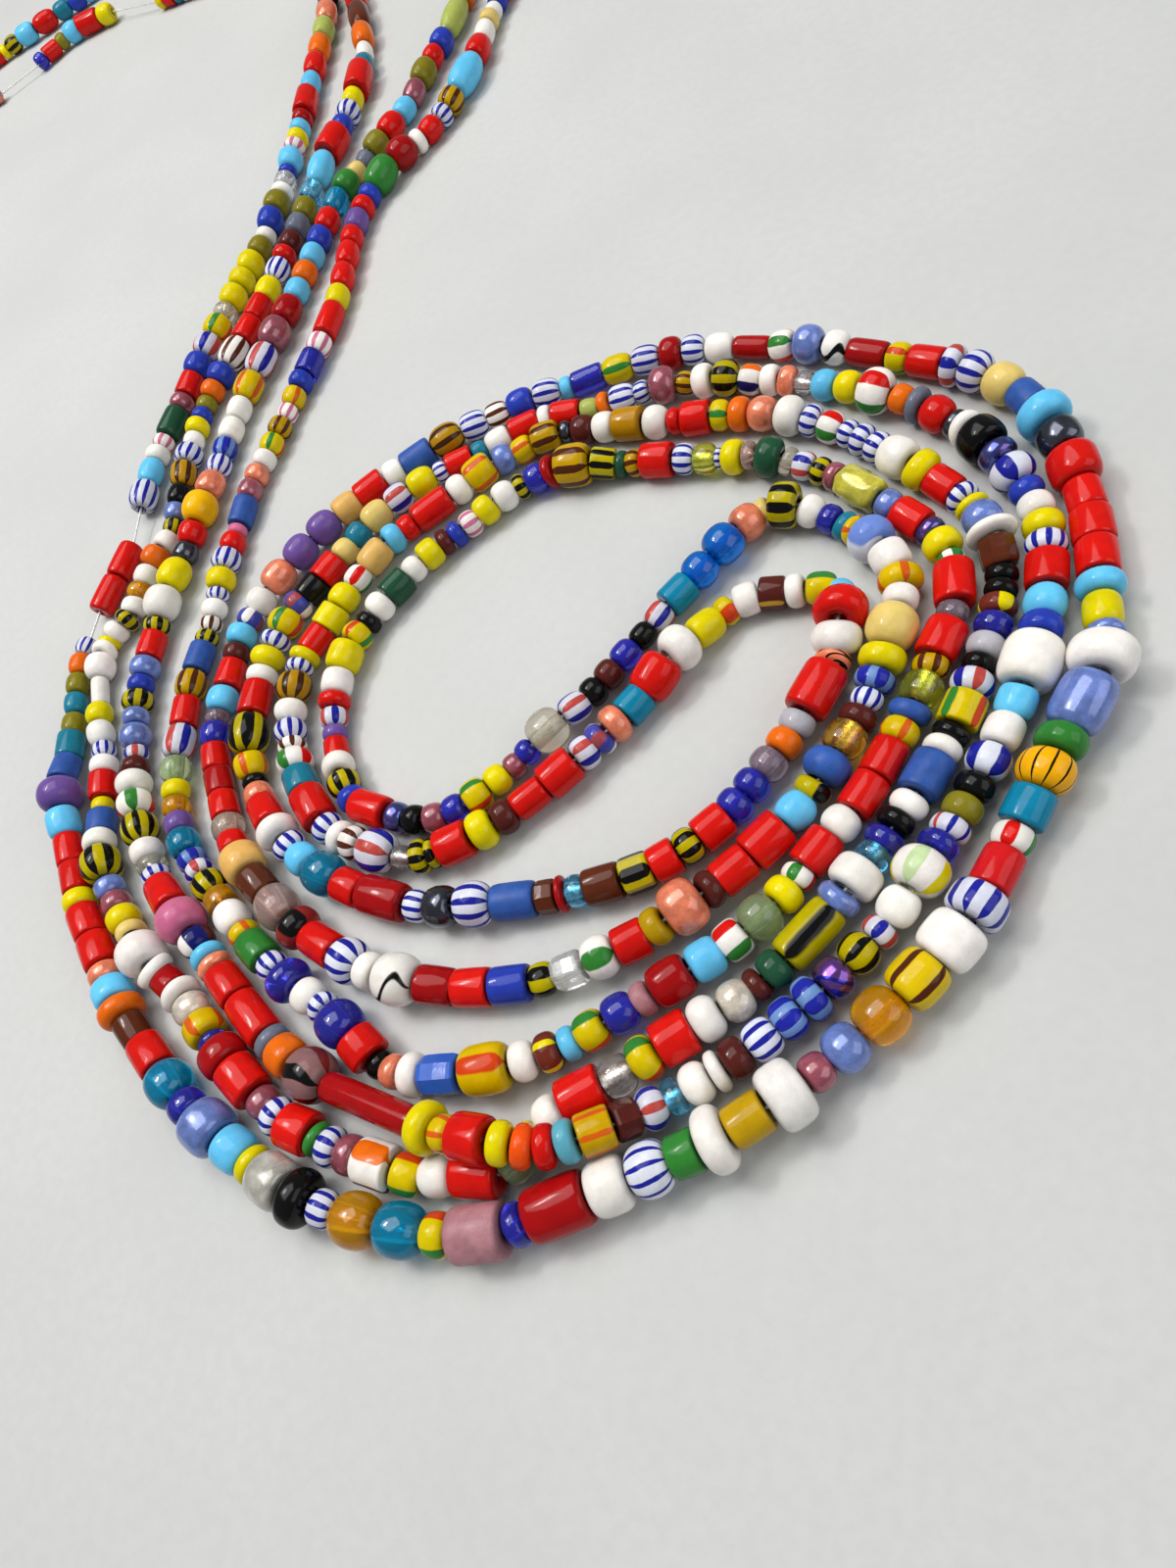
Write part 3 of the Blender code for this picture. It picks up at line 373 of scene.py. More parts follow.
HOOK_OUT = [
    (926, 623, "who9"),
    (927, 603, "yodb"),
    (922, 583, "whba"),
    (906, 561, "wbrc"),
    (879, 545, "yod8"),
    (870, 537, "teo8"),
    (856, 530, "tbo8"),
    (839, 522, "whr9"),
    (815, 516, "ykbc"),
    (787, 513, "icd7"),
    (772, 520, "coda"),
    (752, 542, "ubrb ubra"),
    (705, 594, "ttt9"),
    (680, 616, "wto8"),
    (663, 636, "bko7"),
    (648, 656, "tbo8"),
    (629, 677, "mao8"),
    (614, 697, "bko8"),
    (599, 714, "wto8"),
    (577, 736, "cfrb"),
    (544, 761, "tbo7 mmo7"),
    (515, 789, "yeo8 yro9"),
    (474, 824, "tbo8 mmo8"),
    (430, 841, "bko8 iio8"),
    (393, 834, "rdt9"),
    (359, 827, "rbo8"),
]
INNER_LEFT_IN = [
    (350, 815, "yko9"),
    (345, 795, "who9"),
    (342, 776, "rdt7 puo7"),
    (339, 742, "wto8 rdd9"),
    (341, 710, "whb9"),
    (345, 686, "yeba"),
    (356, 658, "yro9"),
    (370, 641, "bko8"),
    (379, 628, "whr9"),
    (395, 610, "dgt9"),
    (414, 588, "whr8"),
    (430, 573, "yeb9"),
    (446, 556, "mao8 rbo8"),
    (472, 541, "wpo8"),
    (487, 528, "yeo9"),
    (504, 513, "whr9"),
    (524, 497, "yko8"),
    (535, 489, "tbo9"),
]
FAR_IN = [
    (557, 483, "crda"),
    (569, 480, "ynbc"),
    (604, 475, "ykt9"),
    (628, 473, "dgd8"),
    (640, 472, "yno8"),
    (656, 471, "rdta"),
    (688, 470, "wbo9"),
    (709, 468, "oso9"),
    (731, 467, "wbd6"),
    (739, 467, "yeda"),
    (760, 467, "pco8"),
    (774, 466, "dgob"),
    (800, 467, "cfo8"),
    (813, 470, "wto8"),
    (833, 475, "yko8"),
    (848, 481, "mmo8"),
    (861, 488, "yswa"),
    (900, 511, "pwo8"),
    (918, 521, "rdt9"),
    (948, 537, "iio8"),
]
RIGHT_IN = [
    (960, 547, "yeda"),
    (972, 566, "gwo7"),
    (977, 577, "rdta"),
    (982, 618, "mco8"),
    (982, 637, "rdta"),
    (961, 671, "yno9"),
    (953, 690, "osoa"),
    (936, 718, "mbda"),
    (926, 735, "yoo9"),
    (914, 757, "rdt9 rdt9"),
    (875, 830, "whr9"),
    (857, 857, "rdt9"),
    (829, 890, "wro8"),
    (813, 904, "yeo9"),
    (795, 925, "pgra"),
    (763, 951, "wrb9"),
    (738, 971, "lbb9"),
    (706, 991, "crba"),
    (666, 1012, "dpo8"),
]
NEAR_IN = [
    (648, 1025, "tbo9"),
    (618, 1044, "yro9"),
    (590, 1062, "lbo8"),
    (572, 1072, "xyo9"),
    (549, 1083, "whr9"),
    (522, 1092, "yrbb"),
    (474, 1100, "rbf9"),
    (433, 1103, "whra"),
    (410, 1103, "coo8"),
    (391, 1100, "bko7"),
    (378, 1089, "rdta"),
    (364, 1063, "tbrb"),
    (337, 1037, "wbo8"),
    (325, 1026, "whr9"),
    (307, 1009, "tbrb"),
    (288, 995, "wbo8"),
    (271, 984, "grt9"),
    (253, 961, "yoo8"),
    (244, 949, "whr9"),
    (230, 925, "amt8"),
    (222, 912, "yko9"),
    (207, 897, "wto8"),
]
LEFT_IN = [
    (199, 885, "bwo8"),
    (190, 874, "tto9"),
    (181, 853, "puo8"),
    (178, 834, "amo8 yeo8"),
    (177, 800, "pgr9"),
    (181, 775, "wto9"),
    (184, 743, "rdt8"),
    (192, 714, "yno9"),
    (198, 687, "mbt8"),
    (207, 658, "yko7 wno7"),
    (217, 630, "whr8 wbo7"),
    (223, 602, "yeo9"),
    (228, 583, "wbo9 rdo8 pkd6"),
    (243, 536, "mbt8 mmo8"),
    (256, 492, "coo8 who8"),
    (274, 462, "yro8 yno8"),
    (289, 428, "wpo7 yoo8"),
]
FAR_LEFT_IN = [
    (303, 397, "rbo8 tbt8"),
    (322, 361, "wpo8"),
    (332, 343, "rdt8 yeo8"),
    (349, 294, "rdo8 rdo8 rdd8"),
    (360, 236, "puo8 rdd8"),
    (373, 206, "rbd8 grra"),
    (399, 168, "crra whd8"),
    (433, 141, "rdo8 wbd8"),
    (457, 113, "yno9"),
    (468, 97, "lbra"),
    (488, 62, "rdo9"),
    (492, 42, "who8 icd8 whd7"),
    (505, 6, "rbo8"),
    (512, -6, ""),
]

FAR_LEFT_3 = [
    (476, -6, "oro9"),
    (473, 1, "lir9"),
    (458, 36, "rbo9 rdo8"),
    (438, 66, "olo9 mmo8"),
    (420, 104, "lbo8 rdo9"),
    (395, 141, "olo9"),
    (378, 157, "gbd7 icd7"),
    (359, 181, "gro9"),
    (347, 198, "tto8 rdo8"),
    (330, 236, "rbo8 lbo8"),
    (316, 271, "oro8 lbo8"),
    (300, 307, "cro9"),
    (291, 330, "mmra"),
    (276, 356, "wto9"),
    (260, 384, "yoo9"),
    (247, 409, "who8 who8"),
    (231, 450, "bwo8 wbo8"),
    (222, 485, "coo9"),
    (213, 508, "amrb"),
    (204, 536, "rdo9"),
    (193, 556, "heo8"),
    (184, 574, "yera"),
    (174, 604, "whrb"),
]
LEFT_3 = [
    (162, 634, "ykd8"),
    (158, 648, "rdt8"),
    (150, 674, "pwo9"),
    (145, 693, "rbo8"),
    (140, 709, "yko9"),
    (138, 727, "pwo8"),
    (138, 742, "pwr9"),
    (138, 763, "wto7 mao8"),
    (138, 792, "whra"),
    (137, 813, "wrra"),
    (139, 836, "ykra"),
    (147, 862, "who9"),
    (152, 880, "cfd8"),
    (155, 891, "wbo8"),
    (160, 905, "rdt9"),
    (178, 934, "pkrc"),
    (197, 957, "bxo9"),
    (210, 972, "lbd9 cod9"),
    (225, 993, "rdt9 rdl9"),
    (272, 1062, "gbd9"),
    (283, 1073, "orba"),
    (303, 1093, "pmrc"),
]
NEAR_3 = [
    (337, 1117, "crz7"),
    (428, 1148, "yedb"),
    (443, 1162, "yoo8"),
    (462, 1171, "rdta"),
    (495, 1181, "yed9"),
    (516, 1185, "ord9 rdd9"),
    (561, 1177, "ted9"),
    (583, 1168, "yot9"),
    (622, 1154, "maf8"),
    (649, 1138, "wtr9"),
    (681, 1125, "lso8"),
    (699, 1116, "whr9"),
    (728, 1101, "whd9"),
    (742, 1092, "mao9"),
    (766, 1075, "wbo9"),
    (791, 1049, "bwo9"),
    (816, 1028, "bwda"),
    (838, 1010, "pio9"),
    (862, 986, "ykr9"),
    (889, 960, "wto8"),
    (905, 943, "whr9"),
]
RIGHT_3 = [
    (928, 910, "wyrc"),
    (955, 874, "tbo9"),
    (967, 857, "wto9"),
    (979, 838, "olo9"),
    (990, 814, "bko9"),
    (1000, 792, "wbra"),
    (1016, 762, "whb9"),
    (1031, 732, "lbb9"),
    (1042, 703, "whbd"),
    (1060, 655, "rboa"),
    (1065, 631, "lbra"),
    (1070, 599, "rdta"),
    (1072, 565, "wboa"),
    (1071, 545, "yeda"),
    (1067, 525, "who9"),
    (1058, 505, "rbo9"),
    (1046, 492, "wbrb"),
    (1025, 474, "iioa"),
    (1012, 461, "bkbc"),
    (995, 441, "whda"),
]
FAR_3 = [
    (983, 433, "heo8"),
    (972, 427, "rdra"),
    (945, 415, "gbda"),
    (933, 410, "oro8"),
    (911, 405, "wrrc"),
    (878, 400, "yer9"),
    (854, 394, "lbr9"),
    (831, 388, "sco7"),
    (813, 387, "coo9"),
    (795, 387, "who9"),
    (777, 387, "woo9"),
    (755, 385, "ykrb"),
    (728, 389, "whoa"),
    (708, 391, "yno7"),
    (691, 389, "mmrb"),
    (664, 398, "wbo7"),
    (648, 402, "wbo9"),
    (622, 411, "ord8"),
    (610, 414, "lio7"),
    (590, 420, "rdt8 whd8"),
    (549, 425, "rdt8"),
    (520, 441, "who8 ted7"),
    (482, 465, "rdt8"),
    (456, 476, "wbo7"),
]
INNER_LEFT_3 = [
    (443, 483, "yer9"),
    (417, 500, "wto9"),
    (395, 515, "icr9"),
    (371, 536, "teo8 ico8"),
    (345, 571, "rdt9"),
    (328, 594, "bkt9"),
    (310, 611, "bmo9"),
    (296, 624, "yrra"),
    (287, 648, "wbo9"),
    (278, 662, "yera"),
    (269, 681, "who9"),
    (264, 698, "rdt9"),
    (257, 732, "ykrb"),
    (253, 771, "yoo9"),
    (254, 794, "bko7"),
    (257, 804, "coo8"),
    (264, 821, "rdt9"),
    (282, 843, "whdb"),
    (291, 858, "wbo9"),
    (299, 872, "lbr9"),
]
INNER_NEAR_3 = [
    (316, 891, "ttrb"),
    (347, 904, "rdt9"),
    (371, 913, "crla"),
    (414, 927, "wbo8"),
    (436, 931, "heoa"),
    (468, 929, "wbrb"),
    (505, 924, "mbl9"),
    (550, 918, "brf8"),
    (571, 914, "crd9"),
    (580, 911, "lso8"),
    (599, 908, "brt9"),
    (637, 900, "kyf9"),
    (668, 888, "rdt9"),
    (694, 872, "yko9"),
    (715, 857, "rdt9"),
    (745, 834, "tbo9 tbo9"),
    (775, 790, "mco9"),
    (795, 769, "oro9"),
    (809, 748, "gyo9"),
]
HOOK_3 = [
    (821, 728, "rdlb"),
    (850, 682, "ckd9"),
    (857, 667, "whrc"),
    (867, 637, "rddd"),
    (873, 608, "lbd8"),
    (857, 597, "yro9"),
    (824, 602, "whd9"),
    (804, 603, "mgt9"),
    (777, 604, "whb9"),
    (750, 611, "yro8"),
    (735, 625, "yeb9"),
    (708, 650, "whrc"),
    (684, 674, "rdbb"),
    (658, 708, "ttt9"),
    (640, 732, "cooa"),
    (621, 747, "bmo9"),
    (606, 760, "wto9"),
    (588, 778, "rdta"),
    (557, 804, "rdl8"),
    (525, 828, "mao9"),
    (504, 843, "yeda"),
    (481, 858, "rdta"),
    (448, 871, "kyd8 yko9"),
    (420, 880, "sco6"),
    (402, 879, "wtrb"),
    (372, 866, "wno9"),
    (355, 857, "who9 wbr9"),
]
INNER_LEFT_2 = [
    (326, 843, "rdta"),
    (312, 812, "ett9"),
    (304, 790, "wrra"),
    (300, 769, "wno8"),
    (297, 758, "wbr9"),
    (294, 738, "whr9"),
    (298, 717, "anra"),
    (304, 689, "wbd8"),
    (306, 677, "yed9"),
    (312, 665, "rdt8"),
    (331, 643, "yet9"),
    (345, 622, "yeo9"),
    (357, 600, "wro8"),
    (369, 580, "tnb9"),
    (393, 556, "lbo9"),
    (407, 542, "rdo8 rdl9"),
    (460, 508, "whr9"),
    (477, 492, "yoba"),
    (502, 472, "pwr9"),
]
FAR_2 = [
    (523, 461, "yoo8"),
    (544, 449, "ynba"),
    (572, 440, "heo7"),
    (584, 438, "mao9"),
    (606, 436, "who9"),
    (628, 434, "amta"),
    (657, 433, "whra"),
    (682, 432, "rdo8"),
    (697, 429, "rdta"),
    (726, 425, "yro9"),
    (746, 422, "orda"),
    (766, 421, "cora"),
    (794, 423, "whrb"),
    (820, 428, "wbo9"),
    (838, 430, "wrr9"),
    (861, 437, "wbo8 wbo9 wbo9"),
    (903, 461, "whob"),
    (930, 478, "yedb"),
    (952, 487, "rdt9"),
    (980, 501, "wbr9"),
]
RIGHT_2 = [
    (991, 512, "yed9"),
    (999, 519, "pwra"),
    (1018, 540, "whdc"),
    (1024, 550, "brf9"),
    (1027, 577, "bko8 bko8"),
    (1024, 609, "xyo9"),
    (1022, 628, "tbo9"),
    (1017, 649, "gyo9"),
    (1010, 671, "bko8"),
    (1003, 687, "wtra"),
    (991, 711, "yrta"),
    (979, 742, "bko9"),
    (971, 757, "who9"),
    (962, 774, "mbta"),
    (936, 811, "whr9"),
    (920, 831, "bko9"),
    (908, 847, "tbo9"),
    (896, 866, "lso8"),
    (885, 884, "whbb"),
    (862, 911, "pwda"),
    (846, 926, "kyl9"),
    (807, 988, "dgo9"),
    (783, 1004, "mad8"),
    (767, 1014, "plr9"),
]
NEAR_2 = [
    (735, 1032, "whra"),
    (708, 1054, "rdta"),
    (672, 1076, "yrra"),
    (644, 1091, "sco9"),
    (614, 1108, "rdta"),
    (571, 1128, "whr9"),
    (546, 1148, "yeo8 pgr9"),
    (517, 1207, "rdta"),
    (470, 1210, "whr9"),
    (434, 1206, "yrb9"),
    (407, 1197, "wota"),
    (372, 1185, "mmo9"),
    (350, 1177, "wbo9"),
    (331, 1170, "grd8"),
    (321, 1164, "rdta"),
    (295, 1147, "wbo9"),
    (278, 1136, "mmo8"),
    (262, 1120, "rdta"),
    (240, 1090, "crbb"),
    (224, 1070, "tbd7"),
    (217, 1062, "yoba"),
]
LEFT_2 = [
    (205, 1042, "plr9"),
    (196, 1017, "whda"),
    (186, 1009, "crt8"),
    (166, 1000, "whda"),
    (157, 992, "whrc"),
    (143, 964, "bkd6"),
    (139, 958, "ico8"),
    (130, 948, "yeo9"),
    (121, 932, "mmo8"),
    (113, 916, "pwo8"),
    (108, 900, "ykrb"),
    (102, 870, "who9"),
    (101, 852, "mbt8"),
    (103, 828, "yeo6"),
    (104, 814, "rdt8"),
    (107, 788, "who8"),
    (108, 771, "wbo7"),
    (104, 758, "whr8"),
    (100, 738, "yer8"),
    (100, 718, "whl5"),
    (100, 692, "whr9"),
    (104, 668, "who8 yeo7"),
    (112, 648, "whr8 yko8"),
]
FAR_LEFT_2 = [
    (136, 628, "who8"),
    (139, 613, "amo8"),
    (144, 598, "who8"),
    (152, 580, "oro9 who8"),
    (176, 546, "yko7 pwo8"),
    (180, 518, "bko8 ano9"),
    (191, 476, "wbo9 who7"),
    (199, 444, "yeo8 rbo7 olo7"),
    (210, 407, "oro8 rbo9"),
    (233, 377, "wno9"),
    (247, 350, "rdt8 rdt8"),
    (269, 307, "yeo8 wbo8"),
    (288, 268, "rdd8 mao8"),
    (301, 241, "gbo8 olo8"),
    (315, 207, "lsd8"),
    (322, 190, "lbr9"),
    (333, 162, "rdta"),
    (349, 138, "rbd8 wbd9"),
    (360, 111, "yeo8 rdta"),
    (374, 73, "teo8 who7"),
    (373, 48, "ord9 bro9"),
    (366, 8, "rdd9"),
    (360, -4, ""),
]
CORNER_FAR = [
    (86, -4, "rbo9 teo9"),
    (57, 16, "rdra"),
    (37, 32, "lboa"),
    (20, 42, "yko9"),
    (8, 50, ""),
]
CORNER_NEAR = [
    (0, 95, "gap12"),
    (38, 66, "tbo8 rdt8 olo8"),
    (68, 38, "lboa rdta yeoa"),
    (116, 12, "gap16"),
    (160, 1, ""),
]

# Hidden stretches take the plain way round: plan positions in millimetres.
PLAN_COLUMNS = ("x", "y", "beads")

TURN_34 = [
    (93.0, 223.0, ""),
    (93.4, 230.6, ""),
    (87.6, 229.8, ""),
]
ARC_2 = [
    (79.5, 270.0, ""),
    (85.0, 288.0, ""),
    (84.0, 312.0, ""),
    (74.0, 340.0, ""),
    (55.0, 364.0, ""),
]
TURN_12 = [
    (-2.0, 384.0, ""),
    (-10.5, 379.0, ""),
    (-14.0, 370.5, ""),
    (-10.0, 362.5, ""),
]
ARC_1 = [
    (57.0, 324.0, ""),
    (67.0, 308.0, ""),
    (73.0, 291.0, ""),
    (73.5, 277.0, ""),
]


# The strand in order: name of a stretch, its rows, and whether it is a plain hidden stretch with plan positions in millimetres.
PASSES = [
    ("far_left_1", FAR_LEFT_OUT, False),
    ("left_1", LEFT_OUT, False),
    ("near_1", NEAR_OUT, False),
    ("right_1", RIGHT_OUT, False),
    ("inner_left_1", INNER_LEFT_OUT, False),
    ("inner_near_1", INNER_NEAR_OUT, False),
    ("hook_1", HOOK_OUT, False),
    ("far_4", INNER_LEFT_IN + FAR_IN, False),
    ("right_4", RIGHT_IN, False),
    ("near_4", NEAR_IN, False),
    ("left_4", LEFT_IN, False),
    ("far_left_4", FAR_LEFT_IN, False),
    ("turn_34", TURN_34, True),
    ("far_left_3", FAR_LEFT_3, False),
    ("left_3", LEFT_3, False),
    ("near_3", NEAR_3, False),
    ("right_3", RIGHT_3, False),
    ("far_3", FAR_3, False),
    ("inner_left_3", INNER_LEFT_3, False),
    ("inner_near_3", INNER_NEAR_3, False),
    ("hook_3", HOOK_3, False),
    ("far_2", INNER_LEFT_2 + FAR_2, False),
    ("right_2", RIGHT_2, False),
    ("near_2", NEAR_2, False),
    ("left_2", LEFT_2, False),
    ("far_left_2", FAR_LEFT_2, False),
    ("arc_2", ARC_2, True),
    ("corner_far", CORNER_FAR, False),
    ("turn_12", TURN_12, True),
    ("corner_near", CORNER_NEAR, False),
    ("arc_1", ARC_1, True),
]

# ---------------------------------------------------------------- where the strand lies

LARGE_COUNT = 30
RESTING = ("far_4", "yn", "b")
JOINED = {"turn_34": "far_left_4", "turn_12": "corner_far", "corner_near": "corner_far"}

beads, plan = strung()
joints = settled(beads, plan)
joints[:, 2] += 0.04
count = len(beads)
crossing = np.array([bead[0] == "near_3" for bead in beads])
joints[:, 2] -= np.where(crossing, 0.30 * lift_at(plan) / (OVERPASS[3] - 2.0), 0.0)
group = [JOINED.get(bead[0], bead[0]) for bead in beads]
resting = next(i for i, bead in enumerate(beads) if bead[:3] == RESTING)
by_size = sorted(range(count), key=lambda i: (-round(beads[i][4], 4), i))
large = sorted(set(by_size[:LARGE_COUNT]) | {resting})

large_nodes = sorted(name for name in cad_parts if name.startswith("bead_"))
middles = 0.5 * (joints + np.roll(joints, -1, 0))
offsets = []
for i, name in zip(large, large_nodes):
    low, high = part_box(name)
    offsets.append(np.array((low + high) / 2.0) * 1000.0 - middles[i])
shift = np.median(offsets, axis=0)
shift[2] = 0.0
joints += shift

# ---------------------------------------------------------------- colours and patterns of the beads

RED, CRIMSON, MAROON, BROWN = (0.61, 0.007, 0.004), (0.33, 0.004, 0.005), (0.085, 0.014, 0.011), (0.090, 0.020, 0.007)
WHITE, IVORY, TAN, YELLOW = (0.84, 0.805, 0.75), (0.72, 0.54, 0.16), (0.75, 0.44, 0.12), (0.72, 0.60, 0.0)
MUSTARD, ORANGE, GREEN, DARK_GREEN = (0.44, 0.27, 0.003), (0.74, 0.135, 0.004), (0.030, 0.20, 0.030), (0.014, 0.072, 0.034)
PALE_BLUE, PERIWINKLE, BLUE, DENIM = (0.12, 0.52, 0.82), (0.13, 0.20, 0.52), (0.020, 0.045, 0.39), (0.028, 0.09, 0.35)
TEAL, BLACK, GREY_BLUE, PURPLE = (0.012, 0.18, 0.27), (0.004, 0.004, 0.004), (0.13, 0.15, 0.20), (0.150, 0.080, 0.31)
PINK, DUSTY_PINK, LIME, CORAL = (0.58, 0.14, 0.27), (0.37, 0.17, 0.19), (0.40, 0.46, 0.10), (0.82, 0.22, 0.11)
MAUVE, HEMATITE, OLIVE, GREY = (0.30, 0.066, 0.095), (0.065, 0.072, 0.095), (0.21, 0.18, 0.010), (0.42, 0.41, 0.45)
PEARL, AMBER, NAVY, DARK_BLUE = (0.60, 0.54, 0.45), (0.98, 0.48, 0.0), (0.007, 0.009, 0.11), (0.018, 0.020, 0.38)
PALE_GREEN, GOLD, SMOKE = (0.52, 0.66, 0.36), (0.56, 0.34, 0.03), (0.84, 0.79, 0.66)
BEE_YELLOW, HONEY, INK, UMBER = (0.45, 0.37, 0.0), (0.48, 0.28, 0.0), (0.012, 0.016, 0.28), (0.075, 0.018, 0.006)

# Pattern: turns of the phase round the bead and along it, share of it that is marked, size of a wave in it,
# and the wave's turns round and along.
PLAIN = (0, 0, 0, 0, 0, 0)
LINES_8 = (9, 0, 0.42, 0.0, 0, 0)
LINES_6 = (7, 0, 0.42, 0.0, 0, 0)
LINES_4 = (4, 0, 0.45, 0.0, 0, 0)
LINES_3 = (3, 0, 0.40, 0.0, 0, 0)
SPIRAL_3 = (3, 1, 0.40, 0.0, 0, 0)
BAND_1 = (0, 1, 0.34, 0.0, 0, 0)
BAND_2 = (0, 2, 0.40, 0.0, 0, 0)
DASHES = (2, 0, 0.18, 0.16, 0, 1)
PATCHES = (3, 1, 0.42, 0.35, 2, 1)
STAINED = (1, 0, 0.16, 0.14, 3, 2)

# Kind: surface, body colour, first mark, second mark, pattern.
KINDS = {
    "rd": ("glossy", RED, MAROON, MAROON, PLAIN), "cr": ("glossy", CRIMSON, MAROON, MAROON, PLAIN),
    "ma": ("glossy", MAROON, RED, RED, PLAIN), "br": ("glossy", BROWN, MAROON, MAROON, PLAIN),
    "wh": ("glossy", WHITE, IVORY, IVORY, PLAIN), "ic": ("glossy", IVORY, WHITE, WHITE, PLAIN),
    "tn": ("glossy", TAN, BROWN, BROWN, PLAIN), "ye": ("glossy", YELLOW, ORANGE, ORANGE, PLAIN),
    "mu": ("glossy", MUSTARD, BROWN, BROWN, PLAIN), "or": ("glossy", ORANGE, RED, RED, PLAIN),
    "gr": ("glossy", GREEN, DARK_GREEN, DARK_GREEN, PLAIN), "dg": ("glossy", DARK_GREEN, BLACK, BLACK, PLAIN),
    "lb": ("glossy", PALE_BLUE, WHITE, WHITE, PLAIN), "pw": ("lustre", PERIWINKLE, GREY, GREY, PLAIN),
    "rb": ("glossy", BLUE, NAVY, NAVY, PLAIN), "mb": ("matte", DENIM, NAVY, NAVY, PLAIN),
    "te": ("glossy", TEAL, NAVY, NAVY, PLAIN), "et": ("glossy", TEAL, NAVY, NAVY, PLAIN),
    "bk": ("glossy", BLACK, GREY, GREY, PLAIN), "gb": ("glossy", GREY_BLUE, WHITE, WHITE, PLAIN),
    "pu": ("glossy", PURPLE, NAVY, NAVY, PLAIN), "pk": ("glossy", PINK, WHITE, WHITE, PLAIN),
    "dp": ("matte", DUSTY_PINK, PINK, PINK, PLAIN), "li": ("glossy", LIME, GREEN, GREEN, PLAIN),
    "co": ("lustre", CORAL, PINK, PINK, PLAIN), "mm": ("lustre", MAUVE, GREY, GREY, PLAIN),
    "he": ("metal", HEMATITE, GREY, GREY, PLAIN), "ol": ("glossy", OLIVE, MUSTARD, MUSTARD, PLAIN),
    "gy": ("glossy", GREY, WHITE, WHITE, PLAIN), "pl": ("lustre", PEARL, WHITE, WHITE, PLAIN),
    "cf": ("clear", SMOKE, WHITE, WHITE, PLAIN), "cc": ("clear", (0.94, 0.95, 0.95), WHITE, WHITE, PLAIN),
    "sc": ("lined", (0.84, 0.79, 0.76), WHITE, WHITE, PLAIN), "pg": ("clear", PALE_GREEN, WHITE, WHITE, PLAIN),
    "am": ("honeyed", AMBER, MUSTARD, MUSTARD, PLAIN), "tb": ("deep", (0.045, 0.05, 0.66), BLUE, BLUE, PLAIN),
    "tt": ("deep", (0.0, 0.38, 0.64), TEAL, TEAL, PLAIN), "ub": ("deep", (0.0, 0.24, 0.90), BLUE, BLUE, PLAIN),
    "pc": ("clear", (0.80, 0.56, 0.50), WHITE, WHITE, PLAIN), "ys": ("lined", (0.84, 0.74, 0.05), MUSTARD, MUSTARD, PLAIN),
    "os": ("lined", (0.80, 0.84, 0.08), MUSTARD, MUSTARD, PLAIN), "as": ("lined", (0.94, 0.56, 0.06), MUSTARD, MUSTARD, PLAIN),
    "mc": ("clear", (0.42, 0.32, 0.40), WHITE, WHITE, PLAIN), "ls": ("lined", (0.15, 0.60, 0.94), WHITE, WHITE, PLAIN),
    "ii": ("metal", (0.08, 0.10, 0.34), PURPLE, PURPLE, PATCHES), "pi": ("metal", (0.18, 0.07, 0.34), DARK_BLUE, DARK_BLUE, PATCHES),
    "kc": ("clear", (0.78, 0.62, 0.50), ORANGE, ORANGE, PLAIN), "ck": ("glossy", CORAL, BLACK, BLACK, STAINED),
    "wb": ("glossy", (0.66, 0.68, 0.78), INK, INK, LINES_8), "bw": ("glossy", (0.14, 0.26, 0.54), (0.014, 0.02, 0.32), (0.014, 0.02, 0.32), (6, 0, 0.60, 0.0, 0, 0)),
    "wr": ("glossy", WHITE, RED, GREEN, LINES_4), "wt": ("glossy", (0.62, 0.62, 0.70), INK, (0.46, 0.06, 0.05), (6, 0, 0.50, 0.0, 0, 0)),
    "wn": ("glossy", WHITE, BROWN, BROWN, LINES_6), "wo": ("glossy", WHITE, ORANGE, NAVY, LINES_4),
    "wk": ("glossy", WHITE, BLACK, BLACK, DASHES), "wy": ("glossy", WHITE, YELLOW, PALE_GREEN, LINES_6),
    "wp": ("glossy", WHITE, PINK, PINK, LINES_6), "yk": ("glossy", BEE_YELLOW, BLACK, BLACK, (7, 0, 0.50, 0.0, 0, 0)),
    "yn": ("glossy", HONEY, UMBER, UMBER, LINES_6), "ak": ("glossy", (0.80, 0.38, 0.002), BLACK, BLACK, (11, 0, 0.15, 0.0, 0, 0)),
    "an": ("glossy", (0.42, 0.22, 0.004), (0.05, 0.016, 0.005), (0.05, 0.016, 0.005), LINES_6), "yr": ("glossy", (0.62, 0.48, 0.0), (0.58, 0.05, 0.006), GREEN, (4, 0, 0.30, 0.0, 0, 0)),
    "yo": ("glossy", (0.64, 0.44, 0.0), (0.60, 0.10, 0.006), (0.60, 0.10, 0.006), (4, 0, 0.26, 0.0, 0, 0)), "ky": ("glossy", BEE_YELLOW, BLACK, BLACK, (4, 0, 0.55, 0.0, 0, 0)),
    "kn": ("glossy", (0.26, 0.02, 0.018), BLACK, BLACK, (2, 0, 0.40, 0.0, 0, 0)), "xy": ("glossy", (0.15, 0.025, 0.014), YELLOW, YELLOW, LINES_3),
    "mg": ("glossy", MAROON, GOLD, GOLD, LINES_3), "bm": ("glossy", (0.05, 0.06, 0.34), (0.32, 0.06, 0.07), WHITE, LINES_4),
    "bx": ("glossy", NAVY, WHITE, MAROON, LINES_3), "gw": ("glossy", GREEN, WHITE, WHITE, LINES_4),
    "pm": ("glossy", (0.24, 0.12, 0.12), BLACK, (0.16, 0.02, 0.014), (5, 0, 0.40, 0.10, 1, 1)),
}

